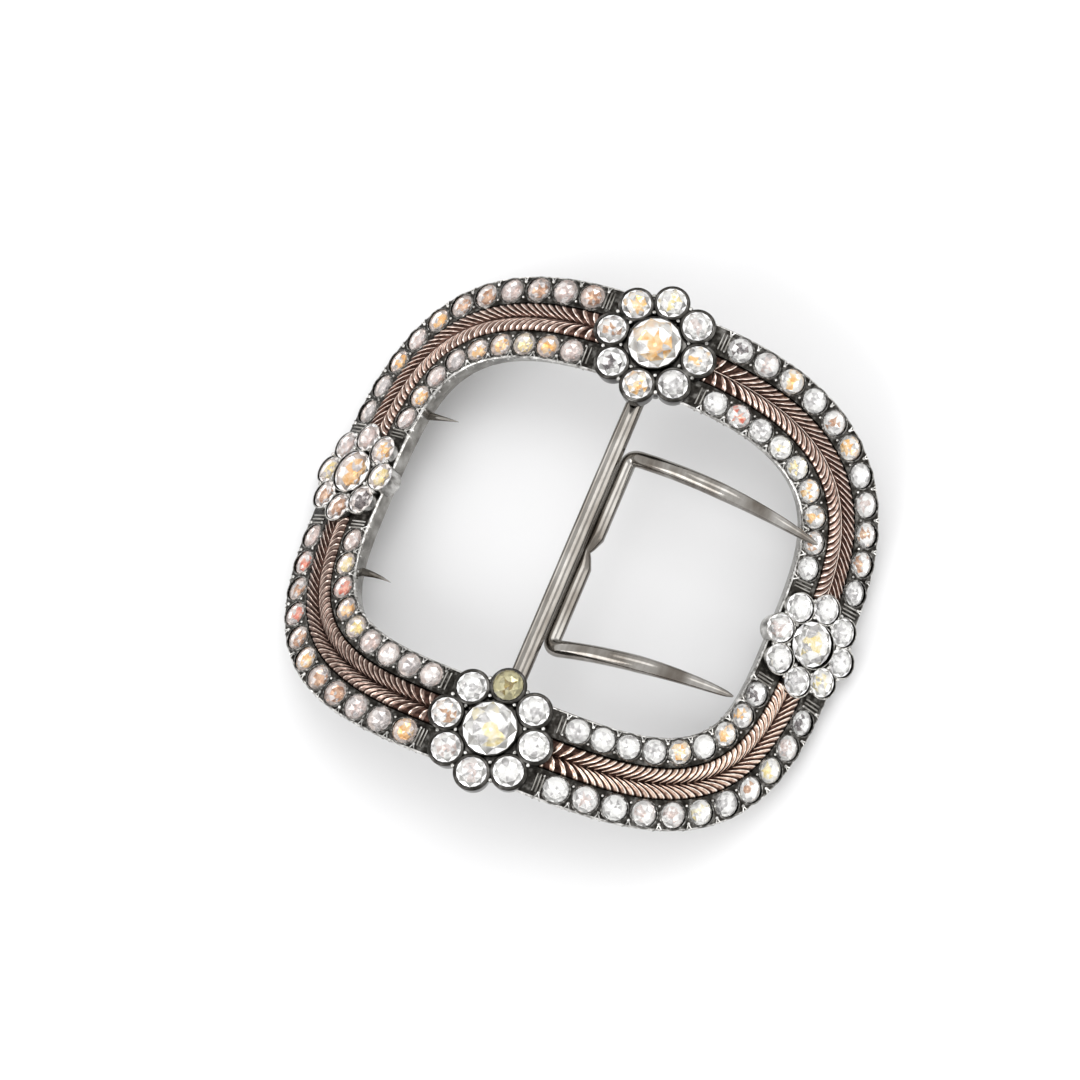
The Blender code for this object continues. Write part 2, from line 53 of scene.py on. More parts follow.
FACING = 0.9
WELD = 0.000002

# Angles in degrees under which neighbouring faces are shaded as one
RAIL_CREASE = 28
CREASE = 35
CRISP = 40
EASED = 50
ROUND = 60

# Curve over the instep, and the rail's middle line in the flat layout
ARCH_RADIUS = 0.0522
HALF_SPREAD = 0.034
HALF_LENGTH = 0.0272
CORNER_POWER = 3.2
RAIL_STEPS = 288
LINE_SAMPLES = 720

# Rail section
ROW_OFFSET = 0.00393
RAIL_DEPTH = 0.0028
RIM_MARGIN = 0.0003
RIM_CHAMFER = 0.00025
OUTER_UNDERCUT = 0.00045
INNER_UNDERCUT = 0.00075
CHANNEL_DEPTH = 0.0013
CHANNEL_WALL = 0.00018
RAIL_TOP_FACING = 0.97
EDGE_FACING = 0.2

# Row stones; a row is its name, side, stone radius and metal between the stones
OUTER_STONE = 0.00168
INNER_STONE = 0.00158
ROWS = (("outer", 1, OUTER_STONE, 0.0004), ("inner", -1, INNER_STONE, 0.00018))
SEAT_ROOM = 0.00003
SEAT_SIDES = 32

# Rosettes
END_CENTRE = 0.00341
END_PETAL = 0.00193
END_CIRCLE = 0.0059
SIDE_CENTRE = 0.00291
SIDE_PETAL = 0.00186
SIDE_CIRCLE = 0.00507
PETALS = 8
ROSETTE_RISE = 0.0008
CENTRE_LIFT = 0.00035
GIRDLE_LIFT = 0.0003
PROUD_LIFT = 0.0003
END_WALL = 0.00048
SIDE_WALL = 0.00022
CENTRE_WALL = 0.00013
COLLET_DEPTH = 0.0024
COLLET_TAPER = 0.9
COLLET_LEDGE = 0.9
COLLET_FLOOR = 0.8
COLLET_ROUNDING = 0.6
COLLET_SIDES = 48
WEB_DROP = 0.00045
WEB_ROUNDING = 0.00009
WEB_SIDES = 64
RIM_LAP = 0.0001
TOP_FACING = 0.85

# Cut of the stones, as shares of the girdle's radius
TABLE_SHARE = 0.52
KITE_SHARE = 0.8
CROWN_SHARE = 0.26
PAVILION_SHARE = 0.42
LOWER_SHARE = 0.9
HEART_SHARE = 0.62
CULET_SHARE = 0.31
POINT_SHARE = 0.07
GIRDLE = 0.0001
EIGHTH = math.pi / 8
FRONT_FACING = 0.05
ONE_FACET = math.radians(1.5)
SEAT_TIP = math.radians(2.2)
# Rings of the back: share of the radius, share of the depth, corners and turn
BACK_RINGS = (
    (LOWER_SHARE, 0.4, 16, 0.5 * EIGHTH),
    (HEART_SHARE, 0.72, 8, EIGHTH),
    (CULET_SHARE, 0.9, 8, 0.0),
    (POINT_SHARE, 1.0, 8, 0.0),
)

# Kinds of facet, and the finishes that chance picks from for each: 0 is the glass, the others are foils
WINDOW, BACK, HEART, CULET, EDGE, SHADED_HEART = range(6)
CLEAR, PALE, GREY, TINT = range(1, 5)
FOIL_CHOICE = {
    WINDOW: (0,),
    BACK: (CLEAR,) * 5 + (PALE, PALE, GREY),
    HEART: (CLEAR, CLEAR, PALE, TINT, TINT, GREY),
    CULET: (TINT,) * 5 + (GREY,),
    EDGE: (CLEAR, CLEAR, PALE, GREY),
    # Hearts of the west stones, tinted more: painted shade
    SHADED_HEART: (TINT,) * 4 + (PALE, GREY),
}
# Each glass's colour, slot, bright foil, and the kinds of facet that it changes
GLASSES = {
    "clear_glass": ((1.0, 0.998, 0.99), "paste", "clear_foil", {}),
    # The west stones' rose glass, warm foil and more tinted hearts are painted shade: the same paste made
    # darker and pinker on the west side, which reflects darker surroundings
    "rose_glass": ((0.915, 0.865, 0.85), "paste", "warm_foil", {HEART: SHADED_HEART}),
    "olive_glass": ((0.6, 0.56, 0.33), "olive_paste", "clear_foil", {EDGE: WINDOW}),
}

# What each stone's aged foil shows through its table, from the north or south end of each row; in the west
# quarters more of it shows, as painted shade
ROW_TINTS = {
    ("outer", "north_east"): "dark pink amber grey brown amber clear pink brown brown grey",
    ("inner", "north_east"): "clear red grey yellow yellow amber amber brown clear",
    ("outer", "south_east"): "clear pink clear pink pink yellow grey brown yellow pink dark",
    ("inner", "south_east"): "grey clear clear grey amber clear amber amber dark",
    ("outer", "south_west"): "amber grey pink brown brown amber brown red brown red pink",
    ("inner", "south_west"): "clear grey clear pink yellow amber red yellow pink",
    ("outer", "north_west"): "brown pink brown pink brown brown amber pink amber grey grey",
    ("inner", "north_west"): "pink amber yellow amber amber grey pink amber pink",
}
# The same for each rosette: its centre, then its petals clockwise from the north
ROSETTE_TINTS = {
    "rosette_north": "amber yellow pink amber grey amber dark brown amber",
    "rosette_east": "yellow clear grey clear yellow grey clear pink clear",
    "rosette_south": "yellow olive grey clear clear pink pink brown grey",
    "rosette_west": "amber pink amber yellow dark brown brown yellow pink",
}

# Grains, as balls flattened under their middle
GRAIN_RADIUS = 0.00025
GRAIN_SIDE = 0.00112
GRAIN_SIDES = 12
GRAIN_RINGS = 8
GRAIN_CUT = 0.3
GRAIN_FOOT = 1.25
GRAIN_RISE = 0.2
INNER_GRAIN = 0.8
ROSETTE_GRAIN = 1.15
OUTER_NOTCH = 0.55
INNER_NOTCH = 0.1

# Spokes at the rim, with shares counted from the grain outwards
SPOKE_WIDTH = 0.00025
SPOKE_HEIGHT = 0.00015
SPOKE_SPLAY = 0.0005
SPOKE_FALL = 0.00055
SPOKE_ROOT = 0.4
SPOKE_OVERHANG = 0.00004
SPOKE_CREST = 0.62
SPOKE_TURN = 0.72
SPOKE_POWER = 1.5
SPOKE_CUTS = (0.3, 0.55, 0.75, 0.9)

# Lips and flutes
LIP_WIRE = 0.00009
LIP_OUT = 0.6
LIP_CUT = 0.2
LIP_SPREAD = 1.06
LIP_SIDES = 32
WIRE_SIDES = 8
FLUTE_PITCH = 0.0004
FLUTE_LENGTH = 0.0024
FLUTE_SHARE = 0.36
FLUTE_ROUNDING = 0.2
FLUTE_SIDES = 16

# Leaf bands; the pairs of numbers say where a share starts and how fast it grows
BAND_HALF = 0.002
BAND_LOW = -0.0005
BAND_CREST = 0.00034
BAND_LAP = 0.0011
BAND_CUTS = 95
GROUND_CUTS = 15
STRIP_HALF = 0.54
VEIN_HALF = 0.00008
VEIN_RISE = 0.4
VEIN_SIDES = 8
BARB_PITCH = 0.00094
BARB_SWEEP = 0.0023
BARB_RISE = 0.00022
BARB_SINK = 0.00003
BARB_FOOT = 0.00012
BARB_SHARE = 0.8
BARB_STOP = 0.35
BARB_CUTS = 12
BARB_PROFILE = ((-0.5, 0.0), (-0.28, 0.52), (0.1, 0.92), (0.32, 1.0), (0.5, 0.1))
# Span across a barb whose flat crest is painted with a highlight that also stands for the rubbed edge
CREST_HIGHLIGHT = (0.1, 0.32)
BARB_BEND = 1.7
BARB_WIDENING = (0.25, 2.2)
ROOT_FADE = (0.25, 3.0)
TIP_FADE = (0.35, 6.0)
FAN_BARBS = 4
FAN_START = 0.25
# Each quarter's golds for the barbs' bodies and crests. The bands are one rose gold: the south-east bodies
# are painted light, the south-west bodies painted shade, and every crest carries a painted highlight.
BAND_GOLDS_AND_LIGHT = {
    "north_east": ("gold_ridge", "gold_edge"),
    "south_east": ("gold_bright", "gold_white"),
    "south_west": ("gold_dark", "gold_dull"),
    "north_west": ("gold_ridge", "gold_edge"),
}

# Bar and lugs
BAR_RADIUS = 0.001175
BAR_DROP = 0.00295
BAR_CLEARANCE = 0.0003
BAR_CUTS = 60
BAR_EDGE = 0.00012
BAR_SIDES = 40
WAVER = 0.012
WIDTH_WAVES = 420
HEIGHT_WAVES = 350
LUG_WIDTH = 0.0048
LUG_FLOOR = 0.0009
LUG_REACH = 0.008
LUG_END_WALL = 0.0008
LUG_CORNER = 0.0006
LUG_EDGE = 0.00015

# Fork
FORK_RADIUS = 0.0011
FORK_SLOPE = math.radians(44)
FORK_HALF = 0.0136
FORK_JOIN = -0.0002
FORK_CORNER_RADIUS = 0.0014
PRONG_BOW = 0.0038
PRONG_TAPER = 0.5
TAPER_POWER = 0.38
TIP_RADIUS = 0.00014
BACK_STEPS = 8
CORNER_STEPS = 8
PRONG_STEPS = 32
ROD_ROUNDNESS = 6
# Each half of the fork: name, way, and its tip's side, lap over the wall and height
FORK_HALVES = (
    ("fork_north_rod", 1, 0.0119, 0.00176, 0.0013),
    ("fork_south_rod", -1, 0.0106, -0.0009, 0.0002),
)
# Sections of the join, in radii of the rod: run along the back, shift inwards, rise and thickness
JOIN_SECTIONS = ((-0.55, 0.55, 0.25, 0.34), (0.73, 0.25, 0.1, 0.72), (2.0, 0.0, 0.0, 1.0))

# Spikes: each one's place along the wall and its hook; the shares count from the wall to the point
SPIKES = ((0.39, 0.0), (-0.445, -0.093))
SPIKE_LENGTH = 0.0054
SPIKE_WIDTH = 0.0015
SPIKE_HEIGHT = 0.001
SPIKE_SIDES = 10
SPIKE_TIP = 0.03
SPIKE_CUTS = (0.15, 0.3, 0.45, 0.6, 0.75, 0.9)
SPIKE_RIDGE = 0.25
RIDGE_START = 0.2

# Metals: dark, middle and light colour, scale of the clouds, roughness, strength of the pits and stretch
METALS = {
    "dark_silver": ((0.008, 0.007, 0.006), (0.028, 0.026, 0.023), (0.13, 0.125, 0.117),
                    1300, (0.22, 0.42), 0.45),
    "collar_silver": ((0.016, 0.015, 0.013), (0.048, 0.045, 0.041), (0.15, 0.145, 0.137),
                      700, (0.12, 0.24), 0.1),
    "worn_silver": ((0.15, 0.145, 0.135), (0.52, 0.51, 0.49), (0.92, 0.91, 0.89), 1500, (0.12, 0.24), 0.1),
    "lip_silver": ((0.03, 0.028, 0.026), (0.11, 0.105, 0.098), (0.46, 0.45, 0.43), 2600, (0.18, 0.34), 0.2),
    # The next two paint light on the side rosettes' collars
    "rim_silver": ((0.12, 0.115, 0.108), (0.34, 0.33, 0.31), (0.74, 0.73, 0.71), 2200, (0.16, 0.32), 0.2),
    "bright_silver": ((0.1, 0.095, 0.088), (0.42, 0.41, 0.39), (0.86, 0.85, 0.83),
                      900, (0.14, 0.3), 0.2, (1.0, 1.0, 0.35)),
    "wall_silver": ((0.12, 0.113, 0.102), (0.27, 0.26, 0.24), (0.46, 0.45, 0.43), 420, (0.2, 0.34), 0.12),
    "gold_ridge": ((0.13, 0.08, 0.064), (0.33, 0.225, 0.187), (0.62, 0.47, 0.4), 1300, (0.12, 0.24), 0.1),
    # The five golds below paint light on the bands: crest highlights that partly stand for rubbed wear, a
    # painted-light south-east body and a painted-shade south-west body.
    "gold_edge": ((0.52, 0.4, 0.34), (0.88, 0.75, 0.67), (0.97, 0.9, 0.84), 1500, (0.14, 0.26), 0.06),
    "gold_bright": ((0.3, 0.185, 0.14), (0.64, 0.455, 0.36), (0.9, 0.74, 0.63), 1300, (0.14, 0.28), 0.1),
    "gold_white": ((0.8, 0.66, 0.56), (0.97, 0.88, 0.79), (0.99, 0.95, 0.9), 1500, (0.16, 0.28), 0.06),
    "gold_dark": ((0.07, 0.044, 0.036), (0.18, 0.122, 0.102), (0.36, 0.265, 0.225), 1300, (0.12, 0.24), 0.1),
    "gold_dull": ((0.26, 0.195, 0.165), (0.62, 0.5, 0.43), (0.9, 0.79, 0.71), 1500, (0.14, 0.26), 0.06),
    "gold_ground": ((0.014, 0.008, 0.006), (0.042, 0.022, 0.017), (0.1, 0.054, 0.041),
                    1500, (0.26, 0.4), 0.2),
    "pin_metal": ((0.15, 0.132, 0.114), (0.27, 0.253, 0.232), (0.42, 0.407, 0.387),
                  380, (0.08, 0.2), 0.06, (1.0, 0.35, 1.0)),
}
METAL_STOPS = (0.32, 0.52, 0.72)
PIT_DEPTH = 0.00008
GLASS_INDEX = 1.48
GLASS_ROUGHNESS = 0.01
GLASS_WEAR = 0.03
FOILS = {
    "clear": ((1.0, 1.0, 0.99), (0.98, 0.975, 0.965)),
    "pale": ((0.9, 0.895, 0.89), (1.0, 0.99, 0.98)),
    "warm": ((0.74, 0.67, 0.63), (0.92, 0.87, 0.84)),
    "grey": ((0.42, 0.41, 0.41), (0.76, 0.75, 0.75)),
    "amber": ((0.95, 0.5, 0.14), (0.98, 0.78, 0.5)),
    "brown": ((0.42, 0.22, 0.13), (0.8, 0.55, 0.38)),
    "pink": ((0.62, 0.5, 0.46), (0.82, 0.75, 0.73)),
    "red": ((0.72, 0.14, 0.08), (0.95, 0.6, 0.48)),
    "yellow": ((0.94, 0.76, 0.3), (0.97, 0.91, 0.72)),
    "dark": ((0.07, 0.06, 0.065), (0.26, 0.23, 0.23)),
    "olive": ((0.2, 0.1, 0.04), (0.5, 0.42, 0.16)),
}
FOIL_STOPS = (0.35, 0.65)
FOIL_ROUGHNESS = 0.1
FOIL_SHINE = 0.64
# Scale and detail of the finer clouds
METAL_DETAIL = 6.0
PITS = (5200.0, 3.0)
GLASS_CLOUDS = (1400.0, 5.0)
FOIL_PATCHES = (1500.0, 2.0)
FLOOR_GRAIN = (60.0, 2.0)

# Floor, camera and lights; a light is its place, size, power and colour
FLOOR_SIZE = 6.0
FLOOR_COLOUR = (0.78, 0.78, 0.785)
FLOOR_ROUGHNESS = 0.75
FLOOR_BUMP = (0.02, 0.0005)
CAMERA_PLACE = (0.07977, -0.10894, 0.4538)
CAMERA_RIGHT = (0.9197, 0.38399, -0.08192)
CAMERA_BACK = (0.1825, -0.23334, 0.95511)
LENS = 120.69
SENSOR = 36.0
SEEN_RANGE = (0.01, 20.0)
SKY_STRENGTH = 1.12
LIGHTS = {
    "key_softbox": ((-0.42, -0.8, 0.75), (0.8, 0.6), 5.0),
    "overhead_softbox": ((-0.05, 0.35, 0.95), (0.6, 0.5), 1.6),
    "right_softbox": ((0.95, 0.2, 0.48), (0.5, 0.8), 1.6, (1.0, 0.985, 0.96)),
    "left_card": ((-0.9, 0.2, 0.16), (0.9, 0.3), 0.9, (1.0, 0.96, 0.92)),
}

# Derived places
OUTER_RIM = ROW_OFFSET + OUTER_STONE + RIM_MARGIN
INNER_RIM = ROW_OFFSET + INNER_STONE + RIM_MARGIN
CHANNEL_HALF = ROW_OFFSET - OUTER_STONE - CHANNEL_WALL
ROOT_DEPTH = 0.5 * (CHANNEL_DEPTH + RAIL_DEPTH)
LOWEST_SPREAD = HALF_SPREAD + OUTER_RIM - OUTER_UNDERCUT
FLOOR_DROP = ARCH_RADIUS - (ARCH_RADIUS - RAIL_DEPTH) * math.cos(LOWEST_SPREAD / ARCH_RADIUS)
BAR_HEIGHT = FLOOR_DROP - BAR_DROP
LUG_START = HALF_LENGTH - INNER_RIM + INNER_UNDERCUT
END_REACH = END_CIRCLE + END_PETAL + END_WALL
SIDE_REACH = SIDE_CIRCLE + SIDE_PETAL + SIDE_WALL
QUARTERS = {"north_east": (1, 1), "south_east": (1, -1), "south_west": (-1, -1), "north_west": (-1, 1)}

chance = random.Random(7)
scene = bpy.context.scene


# Selecting and editing, as by hand
def put_down():
    if bpy.context.object and bpy.context.object.mode != "OBJECT":
        bpy.ops.object.mode_set(mode="OBJECT")
    bpy.ops.object.select_all(action="DESELECT")


def take_up(*pieces):
    put_down()
    for piece in pieces:
        piece.select_set(True)
    bpy.context.view_layer.objects.active = pieces[0]


def open_up(piece):
    take_up(piece)
    bpy.ops.object.mode_set(mode="EDIT")
    bpy.ops.mesh.select_all(action="DESELECT")


def shade(piece, angle):
    take_up(piece)
    bpy.ops.object.shade_smooth_by_angle(angle=math.radians(angle))


def close_up(piece, name, angle=0):
    """Out of edit mode with the normals out, a name, and smooth shading below the angle."""
    pick_all()
    bpy.ops.mesh.normals_make_consistent()
    bpy.ops.object.mode_set(mode="OBJECT")
    piece.name = name
    piece.data.name = name
    if angle:
        shade(piece, angle)
    return piece


def turn_out(piece, angle):
    """Points the normals of a reshaped or joined piece outwards again."""
    open_up(piece)
    return close_up(piece, piece.name, angle)


def weld(piece, name, angle=0):
    open_up(piece)
    pick_all()
    bpy.ops.mesh.remove_doubles(threshold=WELD)
    return close_up(piece, name, angle)


def pick(kind, test):
    """Selects the faces, edges or vertices in edit mode that pass the test."""
    mesh = bpy.context.object.data
    work = bmesh.from_edit_mesh(mesh)
    bpy.ops.mesh.select_mode(type=kind[:-1].upper())
    bpy.ops.mesh.select_all(action="DESELECT")
    for part in getattr(work, kind):
        part.select_set(bool(test(part)))
    bmesh.update_edit_mesh(mesh)


def pick_all():
    bpy.ops.mesh.select_all(action="SELECT")


def widen(share):
    bpy.ops.transform.resize(value=(share, share, 1.0))


def sink(depth):
    bpy.ops.mesh.extrude_region_move(TRANSFORM_OT_translate={"value": (0, 0, -depth)})


def span(edge, axis):
    return abs(edge.verts[0].co[axis] - edge.verts[1].co[axis])


def divide(axis, length, cuts):
    """Divides the edges that run further than the length along the axis."""
    pick("edges", lambda edge: span(edge, axis) > length)
    bpy.ops.mesh.subdivide(number_cuts=cuts)


def cut_across(place, direction, **settings):
    """Cuts everything in edit mode along the plane through the place."""
    pick_all()
    bpy.ops.mesh.bisect(plane_co=place, plane_no=direction, **settings)


def box(size, place):
    """A new block with its size and place in its mesh."""
    put_down()
    bpy.ops.mesh.primitive_cube_add(size=1, location=place, scale=size)
    bpy.ops.object.transform_apply()
    return bpy.context.object


def cylinder(sides, radius, depth, place=(0, 0, 0), turn=(0, 0, 0)):
    """A new cylinder with its place and turn in its mesh."""
    put_down()
    bpy.ops.mesh.primitive_cylinder_add(vertices=sides, radius=radius, depth=depth,
                                        location=place, rotation=turn)
    bpy.ops.object.transform_apply()
    return bpy.context.object


def throw_away(*pieces):
    for piece in pieces:
        bpy.data.objects.remove(piece, do_unlink=True)


def cut_out(piece, cutter):
    take_up(piece)
    step = piece.modifiers.new("cut", "BOOLEAN")
    step.operation = "DIFFERENCE"
    step.solver = "EXACT"
    step.object = cutter
    bpy.ops.object.modifier_apply(modifier=step.name)
    throw_away(cutter)


def copied(pattern, place=None, name="copy"):
    """A copy with its own mesh, with its place in the mesh."""
    twin = pattern.copy()
    twin.data = pattern.data.copy()
    twin.name = name
    twin.data.name = name
    scene.collection.objects.link(twin)
    if place is not None:
        twin.data.transform(place)
    return twin


def joined(pieces, name):
    take_up(*pieces)
    bpy.ops.object.join()
    whole = bpy.context.object
    whole.name = name
    whole.data.name = name
    return whole


def moved(piece, rule):
    for vertex in piece.data.vertices:
        vertex.co = rule(vertex.co)
    piece.data.update()
    return piece


# The rail's middle line and the curve over the instep
def middle_point(angle):
    side = math.sin(angle)
    end = math.cos(angle)
    power = CORNER_POWER
    reach = (abs(side / HALF_SPREAD) ** power + abs(end / HALF_LENGTH) ** power) ** (-1.0 / power)
    u, y = reach * side, reach * end
    slope_u = abs(u / HALF_SPREAD) ** (power - 1) / HALF_SPREAD
    slope_y = abs(y / HALF_LENGTH) ** (power - 1) / HALF_LENGTH
    steep = math.hypot(slope_u, slope_y)
    return Vector((u, y)), Vector((slope_u / steep, slope_y / steep))


def offset_line(offset):
    """The north-east quarter's offset line, as the run from the north point, the place and the normal."""
    samples = []
    run = 0.0
    for step in range(LINE_SAMPLES + 1):
        place, normal = middle_point(0.5 * math.pi * step / LINE_SAMPLES)
        point = place + offset * normal
        if samples:
            run += (point - samples[-1][1]).length
        samples.append((run, point, normal))
    return samples


def along(line, run):
    """Place and normal at a run along an offset line."""
    high = bisect_right(line, run, 1, len(line) - 1, key=lambda sample: sample[0])
    run_a, point_a, normal_a = line[high - 1]
    run_b, point_b, normal_b = line[high]
    share = (run - run_a) / (run_b - run_a)
    return point_a.lerp(point_b, share), normal_a.lerp(normal_b, share).normalized()


MIDDLE_LINE = offset_line(0.0)
QUARTER = MIDDLE_LINE[-1][0]
INNER_WALL_LINE = offset_line(-INNER_RIM)
INNER_FOOT_LINE = offset_line(INNER_UNDERCUT - INNER_RIM)


def evened(first, last, spacing):
    gaps = max(1, int((last - first) / spacing))
    return [first + (last - first) * step / gaps for step in range(gaps + 1)]


def mirrored(signs, point, height=0.0):
    """A place of the north-east quarter, in the quarter with these signs."""
    return Vector((signs[0] * point.x, signs[1] * point.y, height))


def on_rail(co):
    """From a straight rail, as run, offset outwards and height, to the flat layout."""
    turn, run = divmod(co.x, QUARTER)
    signs = list(QUARTERS.values())[int(turn) % len(QUARTERS)]
    if signs[0] != signs[1]:
        run = QUARTER - run
    point, normal = along(MIDDLE_LINE, run)
    return mirrored(signs, point + co.y * normal, co.z)


def in_quarter(signs):
    """As on_rail, for a run that is counted from the quarter's north or south end."""
    def rule(co):
        point, normal = along(MIDDLE_LINE, co.x)
        return mirrored(signs, point + co.y * normal, co.z)
    return rule


def over_instep(co):
    turn = co.x / ARCH_RADIUS
    reach = ARCH_RADIUS + co.z
    return Vector((reach * math.sin(turn), co.y, reach * math.cos(turn) - ARCH_RADIUS + FLOOR_DROP))


def instep_place(u, y, h):
    return Matrix.Translation(over_instep(Vector((u, y, h)))) @ Matrix.Rotation(u / ARCH_RADIUS, 4, "Y")


def wall_spread(line, y):
    return min((sample[1] for sample in line), key=lambda place: abs(place.y - abs(y))).x


def rosettes():
    end = {"centre": END_CENTRE, "petal": END_PETAL, "wall": END_WALL, "circle": END_CIRCLE,
           "lap": RIM_LAP, "finishes": ("collar_silver",) * 3}
    side = {"centre": SIDE_CENTRE, "petal": SIDE_PETAL, "wall": SIDE_WALL, "circle": SIDE_CIRCLE,
            # At the side rosettes the collars' walls and rims are painted light, lighter than the same
            # collars at the ends, and the low faces between the cups are painted shade
            "lap": 0.0, "finishes": ("bright_silver", "rim_silver", "lip_silver")}
    for name, u, y, kind in (("north", 0.0, HALF_LENGTH, end), ("east", HALF_SPREAD, 0.0, side),
                             ("south", 0.0, -HALF_LENGTH, end), ("west", -HALF_SPREAD, 0.0, side)):
        yield {"name": "rosette_" + name, "u": u, "y": y, **kind}


def around(rosette, reach, half_step=0.0):
    for number in range(PETALS):
        angle = 2 * math.pi * (number + half_step) / PETALS
        yield number, rosette["u"] + reach * math.sin(angle), rosette["y"] + reach * math.cos(angle)


def rows():
    """Each row's name, side, stone radius, line and runs of its stones."""
    for row, side, radius, room in ROWS:
        line = offset_line(side * ROW_OFFSET)
        clear = radius + room
        runs = evened(END_REACH + clear, line[-1][0] - SIDE_REACH - clear, 2 * radius + room)
        yield row, side, radius, line, runs


def row_places():
    """Every row stone's row, quarter, number, place and radius."""
    for row, _, radius, line, runs in rows():
        for quarter, signs in QUARTERS.items():
            for number, run in enumerate(runs):
                place = mirrored(signs, along(line, run)[0])
                yield row, quarter, number, place.x, place.y, radius


def row_gaps():
    """Each gap between row stones and at a row's ends: side, stone radius, signs, place and normal."""
    for _, side, radius, line, runs in rows():
        step = runs[1] - runs[0]
        for signs in QUARTERS.values():
            for run in [runs[0] - 0.5 * step] + [value + 0.5 * step for value in runs]:
                yield side, radius, signs, *along(line, run)


# Materials
def fill(made, values):
    for key, value in values.items():
        made.inputs[key].default_value = value
    return made


def new_material(name, colour, roughness, metallic=1.0):
    material = bpy.data.materials.new(name)
    material.use_nodes = True
    shader = material.node_tree.nodes["Principled BSDF"]
    fill(shader, {"Base Color": (*colour, 1.0), "Roughness": roughness, "Metallic": metallic})
    return material, shader


def node(shader, kind, **values):
    return fill(shader.id_data.nodes.new(kind), values)


def link(source, target):
    source.id_data.links.new(source, target)


def cloud(shader, scale, detail, stretch=(1.0, 1.0, 1.0)):
    """Noise on the object's own coordinates."""
    place = node(shader, "ShaderNodeTexCoord")
    shift = node(shader, "ShaderNodeMapping", Scale=stretch)
    noise = node(shader, "ShaderNodeTexNoise", Scale=scale, Detail=detail)
    link(place.outputs["Object"], shift.inputs["Vector"])
    link(shift.outputs["Vector"], noise.inputs["Vector"])
    return noise.outputs["Fac"]


def tint(shader, source, places, colours):
    ramp = node(shader, "ShaderNodeValToRGB")
    bands = ramp.color_ramp.elements
    while len(bands) < len(places):
        bands.new(0.5)
    for band, place, colour in zip(bands, places, colours):
        band.position = place
        band.color = (*colour, 1.0)
    link(source, ramp.inputs["Fac"])
    link(ramp.outputs["Color"], shader.inputs["Base Color"])


def roughen(shader, source, low, high):
    level = fill(node(shader, "ShaderNodeMapRange"), {"To Min": low, "To Max": high})
    link(source, level.inputs["Value"])
    link(level.outputs["Result"], shader.inputs["Roughness"])


def raise_surface(shader, source, strength, distance):
    bump = node(shader, "ShaderNodeBump", Strength=strength, Distance=distance)
    link(source, bump.inputs["Height"])
    link(bump.outputs["Normal"], shader.inputs["Normal"])


def metal(name, dark, mid, light, scale, roughness, pits, stretch=(1.0, 1.0, 1.0)):
    """Metal whose colour and roughness wander between tarnished and worn, with fine pits and scratches."""
    material, shader = new_material(name, mid, roughness[0])
    broad = cloud(shader, scale, METAL_DETAIL, stretch)
    tint(shader, broad, METAL_STOPS, (dark, mid, light))
    roughen(shader, broad, roughness[1], roughness[0])
    raise_surface(shader, cloud(shader, *PITS, stretch), pits, PIT_DEPTH)
    return material


def glass(name, colour):
    material, shader = new_material(name, colour, GLASS_ROUGHNESS, 0.0)
    fill(shader, {"Transmission Weight": 1.0, "IOR": GLASS_INDEX})
    roughen(shader, cloud(shader, *GLASS_CLOUDS), 0.0, GLASS_WEAR)
    return material


def foil(name, colour, other):
    """Crumpled metal foil behind a stone, tinted in patches."""
    material, shader = new_material(name, colour, FOIL_ROUGHNESS, FOIL_SHINE)
    tint(shader, cloud(shader, *FOIL_PATCHES), FOIL_STOPS, (colour, other))
    return material


MATERIALS = {name: metal(name, *look) for name, look in METALS.items()}
MATERIALS |= {name: glass(name, look[0]) for name, look in GLASSES.items()}
MATERIALS |= {name + "_foil": foil(name + "_foil", *look) for name, look in FOILS.items()}


def clothe(piece, *names):
    """The finishes by name; a face keeps the number of its finish."""
    numbers = [face.material_index for face in piece.data.polygons]
    piece.data.materials.clear()
    for name in names:
        piece.data.materials.append(MATERIALS[name])
    for face, number in zip(piece.data.polygons, numbers):
        face.material_index = number if number < len(names) else 0
    return piece


def settle(piece, body, slot, *names):
    """A finished piece gets its finishes and its body; its slot is not used."""
    clothe(piece, *names)
    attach(piece, body)


def settle_silver(piece, *names):
    settle(piece, "setting", "setting_silver", *names)


def spread(pattern, places, name, finish):
    """Copies of a pattern at all the places, as one piece of the setting."""
    copies = [copied(pattern, place) for place in places]
    throw_away(pattern)
    settle_silver(joined(copies, name), finish)


# Stones
def add_ring(radius, height, count=8, turn=0.0):
    bpy.ops.mesh.primitive_circle_add(vertices=count, radius=radius,
                                      location=(0, 0, height), rotation=(0, 0, turn))


def facet_kind(face, nearest):
    """The kind of a facet by its direction and the ring that it reaches inwards to, as a share."""
    if face.normal.z >= FRONT_FACING:
        return EDGE if nearest > 0.5 * (TABLE_SHARE + KITE_SHARE) else WINDOW
    if nearest < 0.5 * (POINT_SHARE + CULET_SHARE):
        return CULET
    return BACK if nearest > 0.5 * (CULET_SHARE + HEART_SHARE) else HEART


